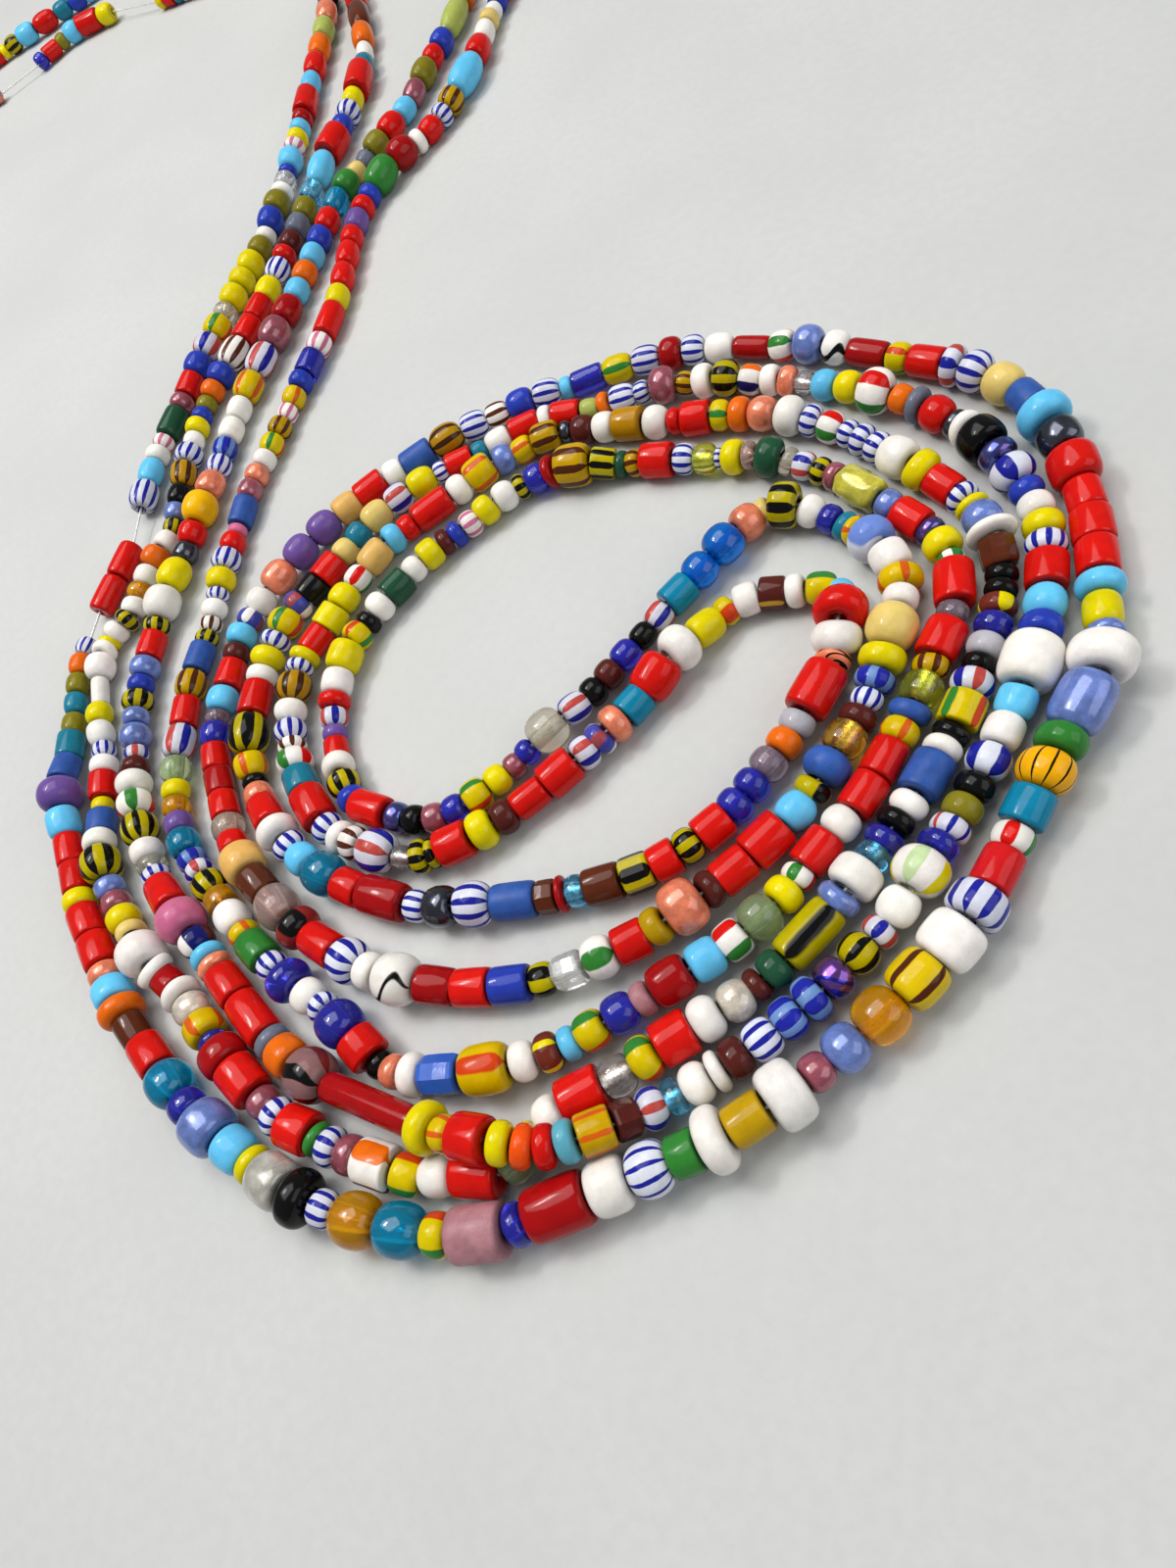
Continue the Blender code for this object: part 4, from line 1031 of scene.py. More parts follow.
# Beads whose marks differ from their kind's: stretch, kind, shape, pattern.
OWN_PATTERN = {
    ("near_1", "wb", "r"): (11, 0, 0.30, 0.0, 0, 0),
    ("hook_1", "wb", "r"): (1, 0, 0.56, 0.0, 0, 0),
    ("right_3", "wb", "r"): (4, 0, 0.46, 0.0, 0, 0),
    ("inner_left_1", "wk", "r"): (2, 0, 0.10, 0.20, 0, 1),
    ("far_left_1", "yk", "o"): (5, 0, 0.45, 0.0, 0, 0),
    ("right_2", "ky", "l"): (1, 0, 0.13, 0.0, 0, 0),
    ("inner_near_1", "ky", "d"): (2, 0, 0.38, 0.0, 0, 0),
    ("left_3", "yk", "r"): (8, 0, 0.46, 0.0, 0, 0),
    ("inner_left_3", "yk", "r"): (6, 0, 0.60, 0.0, 0, 0),
    ("near_1", "yn", "b"): (5, 0, 0.24, 0.0, 0, 0),
    ("near_3", "yk", "r"): (6, 0, 0.42, 0.05, 0, 1),
    ("near_3", "yo", "t"): (6, 0, 0.26, 0.0, 0, 0),
    ("near_3", "yo", "o"): (6, 0, 0.30, 0.0, 0, 0),
    ("near_3", "wt", "r"): (6, 0, 0.42, 0.0, 0, 0),
    ("right_3", "wy", "r"): (5, 0, 0.46, 0.0, 0, 0),
    ("right_3", "wt", "o"): (7, 0, 0.30, 0.0, 0, 0),
    ("near_4", "yr", "b"): (2, 0, 0.24, 0.0, 0, 0),
    ("near_4", "yr", "o"): (3, 0, 0.34, 0.0, 0, 0),
    ("near_2", "yr", "r"): (3, 0, 0.32, 0.0, 0, 0),
    ("near_1", "yr", "o"): (3, 0, 0.34, 0.0, 0, 0),
    ("near_2", "wo", "t"): (3, 0, 0.48, 0.0, 0, 0),
    ("near_2", "yr", "b"): (3, 0, 0.34, 0.0, 0, 0),
    ("hook_3", "mg", "t"): (2, 0, 0.10, 0.0, 0, 0),
    ("near_4", "xy", "o"): (4, 0, 0.24, 0.0, 0, 0),
    ("hook_3", "yr", "o"): (2, 0, 0.40, 0.0, 0, 0),
    ("inner_near_1", "wr", "r"): (2, 0, 0.30, 0.0, 0, 0),
}

# Which part of a bead's pattern lies forward, in degrees round it.
FORWARD = {
    ("right_2", "ky", "l"): 180.0, ("near_2", "wo", "t"): 277.0, ("near_4", "yr", "b"): 75.0, ("near_4", "yr", "o"): 130.0,
    ("near_2", "yr", "r"): 130.0, ("near_2", "yr", "b"): 245.0, ("near_1", "yr", "o"): 120.0, ("near_3", "wt", "r"): 90.0,
    ("inner_left_1", "wk", "r"): 60.0, ("hook_3", "mg", "t"): 125.0, ("hook_3", "ck", "d"): 180.0, ("near_4", "xy", "o"): 15.0,
    ("inner_near_1", "wr", "r"): 270.0, ("near_1", "yn", "b"): 5.0, ("hook_1", "wb", "r"): 110.0,
}

# Beads whose body colour differs from their kind's.
OWN_BODY = {
    ("near_1", "yn", "b"): (0.62, 0.43, 0.002), ("near_4", "yr", "b"): (0.60, 0.40, 0.0), ("near_3", "yo", "t"): (0.54, 0.32, 0.0),
    ("near_3", "te", "d"): (0.10, 0.36, 0.46), ("near_3", "or", "d"): (0.76, 0.075, 0.004), ("near_4", "rb", "f"): (0.03, 0.11, 0.50),
    ("near_1", "tt", "t"): (0.004, 0.21, 0.36), ("hook_1", "tt", "t"): (0.004, 0.21, 0.36), ("hook_3", "tt", "t"): (0.004, 0.21, 0.36),
    ("left_1", "sc", "b"): (0.44, 0.43, 0.38), ("near_1", "wb", "r"): (0.70, 0.72, 0.82), ("near_1", "rd", "t"): (0.58, 0.010, 0.012),
    ("far_4", "ys", "w"): (0.58, 0.53, 0.05), ("far_left_3", "am", "r"): (0.84, 0.44, 0.0), ("far_2", "am", "t"): (0.46, 0.22, 0.002),
}

# Beads whose glass differs from their kind's.
OWN_SURFACE = {
    ("left_1", "sc", "b"): "lustre", ("inner_near_1", "as", "o"): "lined", ("near_1", "tt", "t"): "glossy",
    ("hook_1", "tt", "t"): "glossy", ("hook_3", "tt", "t"): "glossy", ("far_4", "ys", "w"): "lustre",
    ("far_left_3", "am", "r"): "glossy", ("far_2", "am", "t"): "glossy",
}

# Beads whose mark differs from their kind's.
OWN_MARK = {("hook_1", "wb", "r"): (0.15, 0.25, 0.66)}

# ---------------------------------------------------------------- materials


def new_material(name):
    material = bpy.data.materials.new(name)
    material.use_nodes = True
    return material, material.node_tree, material.node_tree.nodes["Principled BSDF"]


def link(tree, output, socket):
    tree.links.new(output, socket)


def sums(tree, operation, a, b=None, c=None):
    """A math node on sockets or numbers."""
    node = tree.nodes.new("ShaderNodeMath")
    node.operation = operation
    for socket, value in zip(node.inputs, (a, b, c)):
        if value is None:
            continue
        if isinstance(value, (int, float)):
            socket.default_value = value
        else:
            link(tree, value, socket)
    return node.outputs[0]


def attribute(tree, name):
    node = tree.nodes.new("ShaderNodeAttribute")
    node.attribute_name = name
    return node


def parts_of(tree, output):
    node = tree.nodes.new("ShaderNodeSeparateXYZ")
    link(tree, output, node.inputs[0])
    return node.outputs


def mixed(tree, factor, a, b, blend="MIX"):
    node = tree.nodes.new("ShaderNodeMix")
    node.data_type = "RGBA"
    node.blend_type = blend
    link(tree, factor, node.inputs["Factor"])
    for socket, value in ((node.inputs[6], a), (node.inputs[7], b)):
        if isinstance(value, tuple):
            socket.default_value = (*value, 1.0)
        else:
            link(tree, value, socket)
    return node.outputs[2]


def ranged(tree, value, low, high, out_low, out_high):
    node = tree.nodes.new("ShaderNodeMapRange")
    node.interpolation_type = "SMOOTHSTEP"
    for socket, number in zip(list(node.inputs)[1:5], (low, high, out_low, out_high)):
        socket.default_value = number
    link(tree, value, node.inputs[0])
    return node.outputs[0]


def noise(tree, place, scale, detail=2.0, rough=0.5):
    node = tree.nodes.new("ShaderNodeTexNoise")
    node.inputs["Scale"].default_value = scale
    node.inputs["Detail"].default_value = detail
    node.inputs["Roughness"].default_value = rough
    link(tree, place, node.inputs["Vector"])
    return node.outputs["Fac"]


def glass(name, rough, spread, metallic=0.0, transmission=0.0, coat=0.0, speckle=0.05, bump=0.04, shine=0.5):
    """Bead glass: its body colour and marks come from the bead, its mottling, wear and shine from noise, and a painted
    shade darkens each bead towards its hole ends.
    """
    material, tree, shader = new_material(name)
    place = tree.nodes.new("ShaderNodeTexCoord").outputs["Object"]
    strip = tree.nodes.new("ShaderNodeUVMap")
    strip.uv_map = "strip"
    u, v, _ = parts_of(tree, strip.outputs[0])
    turns_u, turns_v, share = parts_of(tree, attribute(tree, "phase").outputs["Vector"])
    swing, swing_u, swing_v = parts_of(tree, attribute(tree, "wave").outputs["Vector"])
    angle = sums(tree, "MULTIPLY", sums(tree, "ADD", sums(tree, "MULTIPLY", u, swing_u), sums(tree, "MULTIPLY", v, swing_v)), 2.0 * math.pi)
    wave = sums(tree, "MULTIPLY", sums(tree, "SINE", angle), swing)
    waver = sums(tree, "MULTIPLY", sums(tree, "SUBTRACT", noise(tree, place, 420.0), 0.5), sums(tree, "MULTIPLY", turns_u, 0.024))
    phase = sums(tree, "ADD", sums(tree, "MULTIPLY", u, turns_u), sums(tree, "MULTIPLY", v, turns_v))
    phase = sums(tree, "ADD", sums(tree, "ADD", phase, wave), sums(tree, "ADD", waver, 8.0))
    part = sums(tree, "FRACT", phase)
    middle = sums(tree, "ABSOLUTE", sums(tree, "SUBTRACT", part, 0.5))
    reach = sums(tree, "POWER", sums(tree, "ABSOLUTE", sums(tree, "SUBTRACT", sums(tree, "MULTIPLY", v, 2.0), 1.0)), 8.0)
    closed = sums(tree, "MULTIPLY", share, sums(tree, "SUBTRACT", 0.5, sums(tree, "MULTIPLY", reach, 0.42)))
    inside = sums(tree, "SUBTRACT", closed, middle)
    mask = ranged(tree, inside, -0.02, 0.02, 0.0, 1.0)
    mask = sums(tree, "MULTIPLY", mask, sums(tree, "GREATER_THAN", share, 0.01))
    odd = sums(tree, "MODULO", sums(tree, "FLOOR", phase), 2.0)
    marks = mixed(tree, odd, attribute(tree, "mark").outputs["Color"], attribute(tree, "mark_b").outputs["Color"])
    colour = mixed(tree, mask, attribute(tree, "body").outputs["Color"], marks)
    cloud = ranged(tree, noise(tree, place, 650.0, 3.0), 0.3, 0.7, 1.0 - speckle * 1.6, 1.0 + speckle)
    grain = ranged(tree, noise(tree, place, 4200.0, 2.0), 0.25, 0.75, 1.0 - speckle * 0.6, 1.0 + speckle * 0.5)
    # Painted shade: the colour darkens to 0.72 towards both ends of each bead, next to its holes, where shade falls
    # between neighbouring beads.
    rim = ranged(tree, sums(tree, "ABSOLUTE", sums(tree, "SUBTRACT", v, 0.5)), 0.40, 0.50, 1.0, 0.72)
    # Real mottling and grain, multiplied by the painted shade at the bead ends.
    mottle_and_painted_end_shade = sums(tree, "MULTIPLY", sums(tree, "MULTIPLY", cloud, grain), rim)
    tone = tree.nodes.new("ShaderNodeVectorMath")
    tone.operation = "SCALE"
    link(tree, colour, tone.inputs[0])
    link(tree, mottle_and_painted_end_shade, tone.inputs["Scale"])
    link(tree, tone.outputs[0], shader.inputs["Base Color"])
    smear = noise(tree, place, 900.0, 4.0, 0.6)
    link(tree, ranged(tree, smear, 0.35, 0.75, rough, rough + spread), shader.inputs["Roughness"])
    lump = tree.nodes.new("ShaderNodeBump")
    lump.inputs["Strength"].default_value = bump
    lump.inputs["Distance"].default_value = 0.0002
    link(tree, noise(tree, place, 1500.0, 3.0), lump.inputs["Height"])
    link(tree, lump.outputs[0], shader.inputs["Normal"])
    shader.inputs["IOR"].default_value = 1.5
    shader.inputs["Specular IOR Level"].default_value = shine
    shader.inputs["Metallic"].default_value = metallic
    shader.inputs["Transmission Weight"].default_value = transmission
    shader.inputs["Coat Weight"].default_value = coat
    shader.inputs["Coat Roughness"].default_value = 0.06
    return material


MATERIALS = {
    "glossy": glass("bead_glass_glossy", 0.08, 0.12, coat=0.03, shine=0.17),
    "matte": glass("bead_glass_matte", 0.34, 0.20, speckle=0.10, bump=0.10, shine=0.2),
    "lustre": glass("bead_glass_lustre", 0.16, 0.16, metallic=0.12, coat=0.6, speckle=0.16),
    "metal": glass("bead_glass_metal", 0.14, 0.16, metallic=0.85, coat=0.4, speckle=0.16),
    "clear": glass("bead_glass_clear", 0.04, 0.08, transmission=0.76, speckle=0.06, shine=0.3),
    "deep": glass("bead_glass_deep", 0.04, 0.08, transmission=0.72, speckle=0.06, shine=0.2),
    "lined": glass("bead_glass_lined", 0.03, 0.07, transmission=0.92, speckle=0.10),
    "honeyed": glass("bead_glass_honeyed", 0.12, 0.06, transmission=0.74, coat=0.05, speckle=0.05, bump=0.02, shine=0.2),
}


def foil_material():
    material, tree, shader = new_material("bore_foil_silver")
    place = tree.nodes.new("ShaderNodeTexCoord").outputs["Object"]
    crease = noise(tree, place, 2600.0, 4.0, 0.7)
    link(tree, mixed(tree, crease, (0.72, 0.72, 0.70), (0.95, 0.95, 0.93)), shader.inputs["Base Color"])
    link(tree, ranged(tree, crease, 0.3, 0.7, 0.16, 0.40), shader.inputs["Roughness"])
    lump = tree.nodes.new("ShaderNodeBump")
    lump.inputs["Strength"].default_value = 0.35
    lump.inputs["Distance"].default_value = 0.0002
    link(tree, crease, lump.inputs["Height"])
    link(tree, lump.outputs[0], shader.inputs["Normal"])
    shader.inputs["Metallic"].default_value = 1.0
    return material


MATERIALS["foil"] = foil_material()


def thread_material():
    material, tree, shader = new_material("thread_nylon_clear")
    place = tree.nodes.new("ShaderNodeTexCoord").outputs["Object"]
    wear = noise(tree, place, 1800.0, 3.0)
    link(tree, mixed(tree, wear, (0.66, 0.66, 0.63), (0.82, 0.82, 0.80)), shader.inputs["Base Color"])
    link(tree, ranged(tree, wear, 0.3, 0.7, 0.22, 0.42), shader.inputs["Roughness"])
    shader.inputs["Transmission Weight"].default_value = 0.45
    shader.inputs["IOR"].default_value = 1.5
    return material


MATERIALS["thread"] = thread_material()

# ---------------------------------------------------------------- bead shapes

rng = np.random.default_rng(20)


def outline(shape, length, radius, hole):
    """Outer side of a bead from one hole rim to the other: distances from the axis and along it."""
    half = length / 2.0
    power = {"r": 2.25, "o": 2.5, "d": 2.6, "b": 3.2, "t": 8.0, "l": 6.0, "z": 16.0, "f": 6.0, "w": 4.5}[shape]
    a = np.linspace(math.pi / 2.0, -math.pi / 2.0, 15)
    if power > 5.0:
        a = np.array([1.5708, 1.15, 0.93, 0.84, 0.785, 0.73, 0.62, 0.3, 0.0])
        a = np.r_[a, -a[-2::-1]]
    c, s = np.abs(np.cos(a)) ** (2.0 / power), np.sign(np.sin(a)) * np.abs(np.sin(a)) ** (2.0 / power)
    c[0] = c[-1] = 0.0
    return hole + (radius - hole) * c, half * s


# Bore over radius for each shape.
BORE = {"t": 0.34, "l": 0.34, "z": 0.30, "f": 0.30, "w": 0.36, "b": 0.38, "o": 0.38, "d": 0.36, "r": 0.30}


def surface_of(i):
    stretch, colour, shape = beads[i][:3]
    return OWN_SURFACE.get((stretch, colour, shape), KINDS[colour][0])


def lathed(i):
    """Corners, faces, strip coordinates and smoothness of one bead, round its own axis."""
    _, colour, shape, length, diameter = beads[i]
    radius = diameter / 2.0
    surface = surface_of(i)
    hole = BORE[shape] * radius
    length = length * 0.985
    sides = 28 if diameter > 5.0 else 22
    if shape in "fw":
        sides = 24
    x, z = outline(shape, length, radius, hole)
    outer = len(x)
    x = np.r_[x, hole * 0.98, hole * 0.98]
    z = np.r_[z, -length * 0.42, length * 0.42]
    rings = len(x)
    phi = np.linspace(0.0, 2.0 * math.pi, sides, endpoint=False)
    wobble = 1.0 + 0.013 * np.sin(phi * 2.0 + rng.uniform(0, 6.28)) + 0.007 * np.sin(phi * 3.0 + rng.uniform(0, 6.28))
    lift = np.ones((rings, sides))
    if shape == "f":
        flat = (phi + 0.001) % (math.pi / 4.0) - math.pi / 8.0
        lift *= (math.cos(math.pi / 8.0) / np.cos(flat))[None, :] * 1.02
    if shape == "w":
        spin = phi[None, :] + (z / length * 1.5)[:, None]
        flat = spin % (math.pi / 3.0) - math.pi / 6.0
        lift *= math.cos(math.pi / 6.0) / np.cos(flat) * 1.03
    lift *= wobble[None, :]
    lift[outer:] = 1.0
    lean = 1.0 + rng.uniform(-0.02, 0.02) * (z / length)
    r = x[:, None] * lift * lean[:, None]
    spots = np.stack([r * np.cos(phi), r * np.sin(phi), np.repeat(z[:, None], sides, 1)], 2).reshape(-1, 3)
    k, s = np.meshgrid(np.arange(rings), np.arange(sides), indexing="ij")
    after_k, after_s = (k + 1) % rings, (s + 1) % sides
    faces = np.stack([k * sides + s, after_k * sides + s, after_k * sides + after_s, k * sides + after_s], 2).reshape(-1, 4)
    along = np.clip(0.5 - z / length, 0.0, 1.0)
    walk = np.r_[0.0, np.cumsum(np.hypot(np.diff(np.r_[x, x[0]]), np.diff(np.r_[z, z[0]])))]
    walk /= walk[-1]
    v0, v1 = along[k], along[after_k]
    v0 = np.where(k >= outer - 1, 0.5, v0)
    v1 = np.where(k >= outer - 1, 0.5, v1)
    u0, u1 = s / sides, (s + 1) / sides
    strip = np.stack([np.stack([u0, v0], 2), np.stack([u0, v1], 2), np.stack([u1, v1], 2), np.stack([u1, v0], 2)], 2).reshape(-1, 2)
    w0, w1 = walk[k], walk[k + 1]
    sheet = np.stack([np.stack([u0, w0], 2), np.stack([u0, w1], 2), np.stack([u1, w1], 2), np.stack([u1, w0], 2)], 2).reshape(-1, 2)
    bored = (k >= outer - 1).reshape(-1)
    return spots, faces, strip, sheet, shape not in "f", 2.0 * math.pi * radius, walk_length(x, z), bored


def walk_length(x, z):
    return float(np.hypot(np.diff(np.r_[x, x[0]]), np.diff(np.r_[z, z[0]])).sum())


def frame_at(i):
    """Turn that lays a bead's own axis along the thread, with a spin of its own."""
    ahead = joints[(i + 1) % count] - joints[i]
    ahead = ahead / np.linalg.norm(ahead)
    side = np.cross(ahead, (0.0, 0.0, 1.0))
    side /= np.linalg.norm(side)
    up = np.cross(side, ahead)
    spin = rng.uniform(0.0, 2.0 * math.pi)
    if beads[i][:3] in FORWARD:
        view = np.array([float(shift[0]), float(shift[1]), VIEW_H]) - middles[i] - shift
        spin = math.radians(FORWARD[beads[i][:3]]) + math.atan2(view.dot(up), view.dot(side))
    if beads[i][2] == "f":
        spin = math.pi / 8.0
    a = math.cos(spin) * side + math.sin(spin) * up
    b = np.cross(ahead, a)
    tip = np.array([rng.normal(0.0, 0.012), rng.normal(0.0, 0.012)])
    ahead = ahead + tip[0] * a + tip[1] * b
    ahead /= np.linalg.norm(ahead)
    a = a - ahead * a.dot(ahead)
    a /= np.linalg.norm(a)
    return np.stack([a, np.cross(ahead, a), ahead], 1)


def thread_run(path):
    """Thin round thread along a path."""
    path = np.array(path)
    sides, radius = 6, 0.19
    ahead = np.gradient(path, axis=0)
    ahead /= np.linalg.norm(ahead, axis=1)[:, None]
    side = np.cross(ahead, (0.0, 0.0, 1.0))
    side /= np.linalg.norm(side, axis=1)[:, None]
    up = np.cross(side, ahead)
    phi = np.linspace(0.0, 2.0 * math.pi, sides, endpoint=False)
    spots = path[:, None] + radius * (np.cos(phi)[None, :, None] * side[:, None] + np.sin(phi)[None, :, None] * up[:, None])
    rows = len(path)
    k, s = np.meshgrid(np.arange(rows - 1), np.arange(sides), indexing="ij")
    nxt = (s + 1) % sides
    faces = np.stack([k * sides + s, k * sides + nxt, (k + 1) * sides + nxt, (k + 1) * sides + s], 2).reshape(-1, 4)
    u0, u1, w0, w1 = s / sides, (s + 1) / sides, k / (rows - 1), (k + 1) / (rows - 1)
    sheet = np.stack([np.stack([u0, w0], 2), np.stack([u1, w0], 2), np.stack([u1, w1], 2), np.stack([u0, w1], 2)], 2).reshape(-1, 2)
    return spots.reshape(-1, 3), faces, sheet


def shelves(sizes):
    """Packs rectangles of the given widths and heights onto shelves of a square: corner and scale of each."""
    order = sorted(range(len(sizes)), key=lambda k: -sizes[k][1])
    area = sum(w * h for w, h in sizes)
    side = math.sqrt(area) * 1.06
    while True:
        x = y = tall = 0.0
        spots = {}
        for k in order:
            w, h = sizes[k]
            if x + w > side:
                x, y, tall = 0.0, y + tall, 0.0
            spots[k] = (x, y)
            x += w
            tall = max(tall, h)
        if y + tall <= side and max(w for w, _ in sizes) <= side:
            return [spots[k] for k in range(len(sizes))], side
        side *= 1.03


def piece(name, members, node):
    """One shown piece: its beads, and the thread where the stretch has one."""
    spots, faces, strips, sheets, sizes, smooth, slots = [], [], [], [], [], [], []
    rows = {"body": [], "mark": [], "mark_b": [], "phase": [], "wave": []}
    used, base = [], 0

    def slot_of(surface):
        if surface not in used:
            used.append(surface)
        return used.index(surface)

    for i in members:
        stretch, colour, shape, length, diameter = beads[i]
        if colour == "gap":
            continue
        _, body, mark, mark_b, pattern = KINDS[colour]
        surface = surface_of(i)
        pattern = OWN_PATTERN.get((stretch, colour, shape), pattern)
        body = OWN_BODY.get((stretch, colour, shape), body)
        mark = OWN_MARK.get((stretch, colour, shape), mark)
        own, own_faces, strip, sheet, soft, wide, high, bored = lathed(i)
        centre = 0.5 * (joints[i] + joints[(i + 1) % count])
        turn = frame_at(i)
        placed = own @ turn.T + centre
        placed[:, 2] = np.maximum(placed[:, 2], 0.0)
        spots.append(placed)
        faces.append(own_faces + base)
        base += len(own)
        strips.append(strip)
        sheets.append(sheet)
        sizes.append((wide + 0.5, high + 0.5))
        number = len(own_faces)
        smooth.append(np.full(number, soft))
        slots.append(np.where(bored, slot_of("foil"), slot_of(surface)) if surface == "lined" else np.full(number, slot_of(surface)))
        tone = 1.0 + rng.uniform(-0.08, 0.06)
        hue = 1.0 + rng.uniform(-0.012, 0.012, 3)
        rows["body"].append(np.tile(np.r_[np.array(body) * tone * hue, 1.0], (number, 1)))
        rows["mark"].append(np.tile(np.r_[np.array(mark), 1.0], (number, 1)))
        rows["mark_b"].append(np.tile(np.r_[np.array(mark_b), 1.0], (number, 1)))
        rows["phase"].append(np.tile(pattern[:3], (number, 1)))
        rows["wave"].append(np.tile(pattern[3:], (number, 1)))
    if len(members) > 1:
        path = [joints[members[0]] * 0.97 + joints[members[0] + 1] * 0.03]
        for i in members:
            a, b = joints[i], joints[(i + 1) % count]
            if i != members[0]:
                path.append(a)
            path.append(0.5 * (a + b))
        path.append(joints[members[-1]] * 0.03 + joints[(members[-1] + 1) % count] * 0.97)
        own, own_faces, sheet = thread_run(path)
        spots.append(own)
        faces.append(own_faces + base)
        strips.append(sheet * 0.0 + 0.5)
        sheets.append(sheet)
        sizes.append((1.6, 40.0))
        number = len(own_faces)
        smooth.append(np.full(number, True))
        slots.append(np.full(number, slot_of("thread")))
        for key, width in (("body", 4), ("mark", 4), ("mark_b", 4), ("phase", 3), ("wave", 3)):
            rows[key].append(np.tile(np.r_[0.7, 0.7, 0.7, 1.0][:width] if width == 4 else np.zeros(3), (number, 1)))
    places, side = shelves(sizes)
    laid_out = [(sheet * ((w - 0.5) / side, (h - 0.5) / side) + ((x + 0.25) / side, (y + 0.25) / side)) for sheet, (w, h), (x, y) in zip(sheets, sizes, places)]
    mesh = bpy.data.meshes.new(name)
    corners = np.concatenate(faces).astype(np.int32)
    points = (np.concatenate(spots) * MM).astype(np.float32)
    mesh.vertices.add(len(points))
    mesh.vertices.foreach_set("co", points.ravel())
    mesh.loops.add(corners.size)
    mesh.loops.foreach_set("vertex_index", corners.ravel())
    mesh.polygons.add(len(corners))
    mesh.polygons.foreach_set("loop_start", np.arange(0, corners.size, 4, dtype=np.int32))
    mesh.update(calc_edges=True)
    mesh.polygons.foreach_set("use_smooth", np.concatenate(smooth))
    mesh.polygons.foreach_set("material_index", np.concatenate(slots).astype(np.int32))
    for label, values in (("strip", np.concatenate(strips)), ("OFBake", np.concatenate(laid_out))):
        layer = mesh.uv_layers.new(name=label)
        layer.uv.foreach_set("vector", values.astype(np.float32).ravel())
    for key in rows:
        values = np.concatenate(rows[key]).astype(np.float32)
        made = mesh.attributes.new(key, "FLOAT_COLOR" if values.shape[1] == 4 else "FLOAT_VECTOR", "FACE")
        made.data.foreach_set("color" if values.shape[1] == 4 else "vector", values.ravel())
    for surface in used:
        mesh.materials.append(MATERIALS[surface])
    mesh.update()
    mesh.validate()
    obj = bpy.data.objects.new(name, mesh)
    bpy.context.scene.collection.objects.link(obj)
    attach(obj, "root")
    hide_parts(node)
    return obj


names = []
for label in group:
    if label not in names:
        names.append(label)
large_set = set(large)
for label in names:
    members = [i for i in range(count) if group[i] == label]
    shown = {i: beads[i] for i in members if i in large_set}
    for i in shown:
        beads[i] = (shown[i][0], "gap", *shown[i][2:])
    piece("beads_" + label, members, "strand_" + label)
    for i in shown:
        beads[i] = shown[i]
for i, node in zip(large, large_nodes):
    piece(node.replace("bead_", "large_", 1), [i], node)

# ---------------------------------------------------------------- table, light and camera


def table_material():
    material, tree, shader = new_material("table_pale")
    place = tree.nodes.new("ShaderNodeTexCoord").outputs["Object"]
    cloud = ranged(tree, noise(tree, place, 26.0, 4.0), 0.3, 0.7, 0.0, 1.0)
    fine = ranged(tree, noise(tree, place, 700.0, 3.0), 0.3, 0.7, 0.0, 0.35)
    tone = mixed(tree, cloud, (0.505, 0.514, 0.503), (0.540, 0.549, 0.538))
    link(tree, mixed(tree, fine, tone, (0.475, 0.483, 0.472)), shader.inputs["Base Color"])
    shader.inputs["Roughness"].default_value = 0.62
    lump = tree.nodes.new("ShaderNodeBump")
    lump.inputs["Strength"].default_value = 0.05
    lump.inputs["Distance"].default_value = 0.0005
    link(tree, noise(tree, place, 900.0, 3.0), lump.inputs["Height"])
    link(tree, lump.outputs[0], shader.inputs["Normal"])
    return material


floor_mesh = bpy.data.meshes.new("table")
reach = 2.5
floor_mesh.from_pydata([(-reach, -reach, -0.00005), (reach, -reach, -0.00005), (reach, reach, -0.00005), (-reach, reach, -0.00005)], [], [(0, 1, 2, 3)])
floor_mesh.materials.append(table_material())
floor = bpy.data.objects.new("table", floor_mesh)
bpy.context.scene.collection.objects.link(floor)

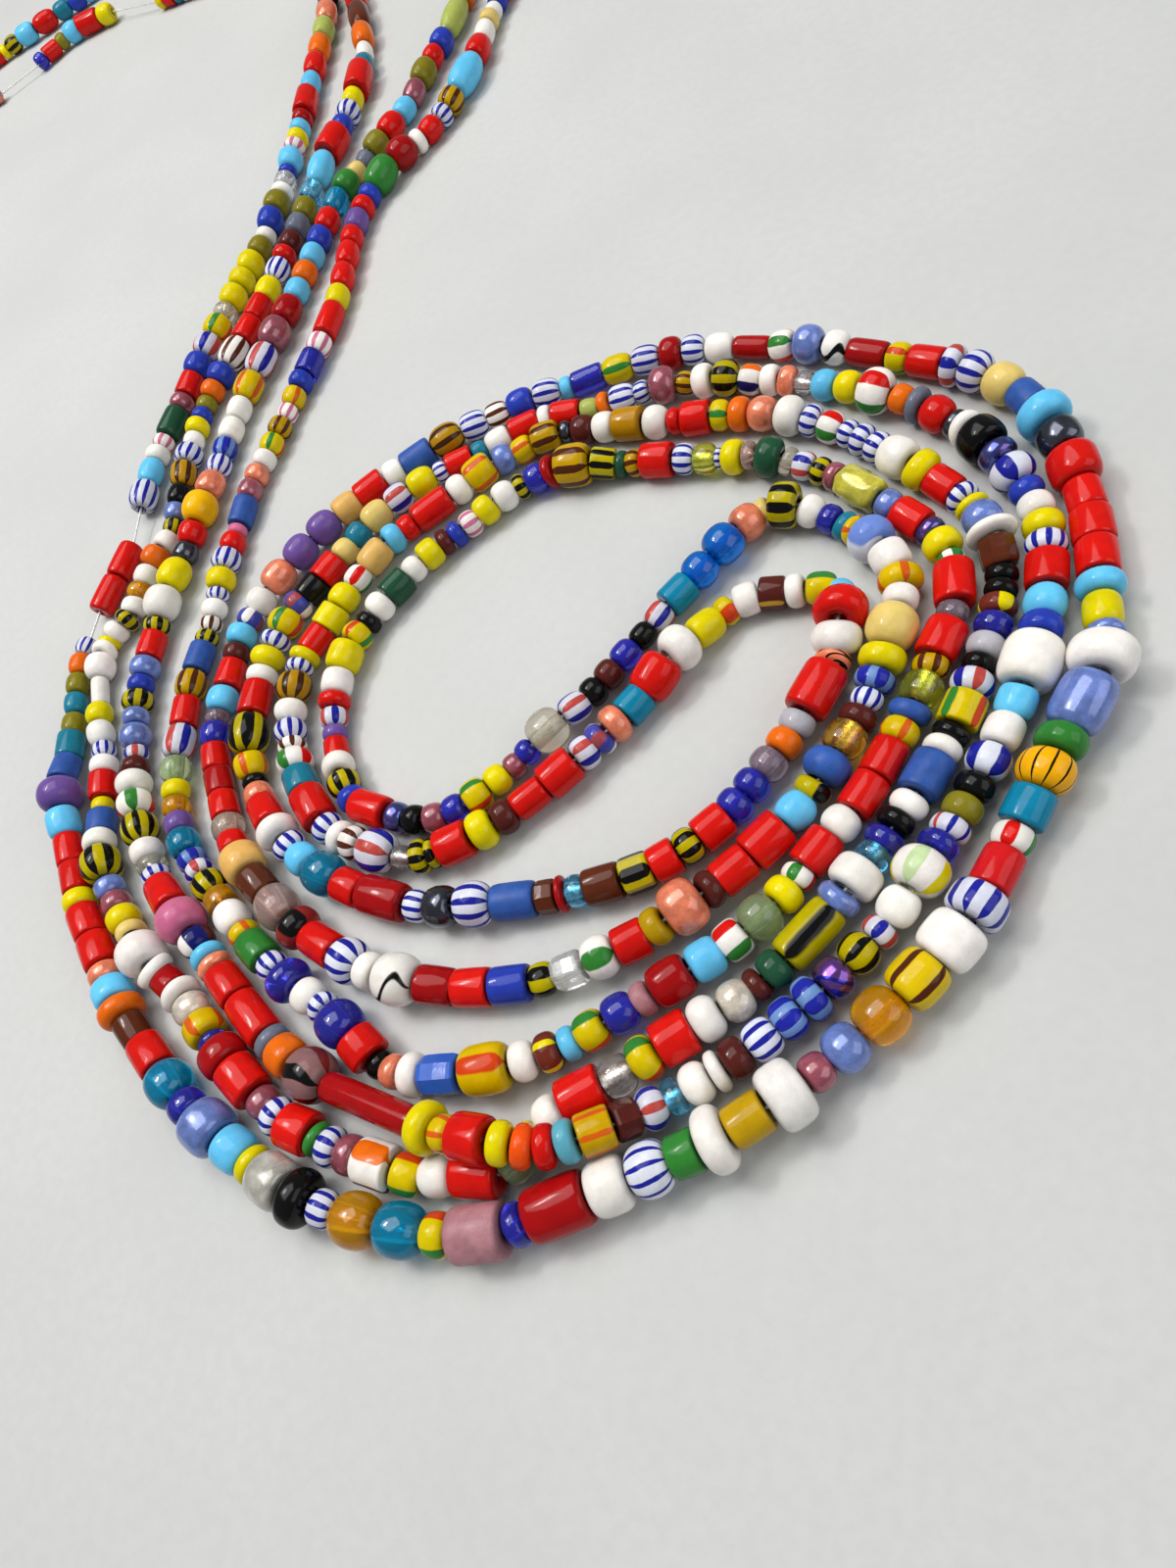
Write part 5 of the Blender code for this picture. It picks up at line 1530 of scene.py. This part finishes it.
scene = bpy.context.scene
world = bpy.data.worlds.new("room")
scene.world = world
world.use_nodes = True
backdrop = world.node_tree.nodes["Background"]
backdrop.inputs["Color"].default_value = (0.98, 0.985, 1.0, 1.0)
backdrop.inputs["Strength"].default_value = 0.24
scene.view_settings.view_transform = "Standard"
scene.view_settings.look = "None"
scene.view_settings.exposure = 0.0
scene.view_settings.gamma = 1.0


def lamp(name, spot, aim, wide, high, power, tint):
    light = bpy.data.lights.new(name, "AREA")
    light.shape = "RECTANGLE"
    light.size, light.size_y = wide, high
    light.energy = power
    light.color = tint
    obj = bpy.data.objects.new(name, light)
    scene.collection.objects.link(obj)
    obj.location = spot
    obj.rotation_mode = "QUATERNION"
    obj.rotation_quaternion = (Vector(aim) - Vector(spot)).to_track_quat("-Z", "Y")
    return obj


middle = Vector((float(shift[0]) * MM, (float(shift[1]) + 75.0) * MM, 0.0))
lamp("window", middle + Vector((-0.18, 0.30, 0.55)), middle, 0.17, 0.055, 1.25, (1.0, 0.985, 0.96))
lamp("ceiling", middle + Vector((-0.05, 0.40, 0.92)), middle, 0.95, 0.75, 9.4, (1.0, 0.99, 0.975))
lamp("fill", middle + Vector((0.40, -0.45, 0.40)), middle, 0.6, 0.5, 1.7, (0.96, 0.98, 1.0))

right = Vector((1.0, 0.0, 0.0))
ahead = Vector((0.0, math.cos(TILT), -math.sin(TILT)))
over_head = Vector((0.0, math.sin(TILT), math.cos(TILT)))
across = right * math.cos(ROLL) - over_head * math.sin(ROLL)
upward = right * math.sin(ROLL) + over_head * math.cos(ROLL)
lens = bpy.data.cameras.new("view")
lens.sensor_fit = "AUTO"
lens.sensor_width = 36.0
lens.lens = FOCAL / 1600.0 * 36.0
lens.clip_start, lens.clip_end = 0.005, 20.0
camera = bpy.data.objects.new("view", lens)
scene.collection.objects.link(camera)
pose = Matrix((across, upward, -ahead)).transposed().to_4x4()
pose.translation = Vector((float(shift[0]), float(shift[1]), VIEW_H + 0.04)) * MM
camera.matrix_world = pose
scene.camera = camera
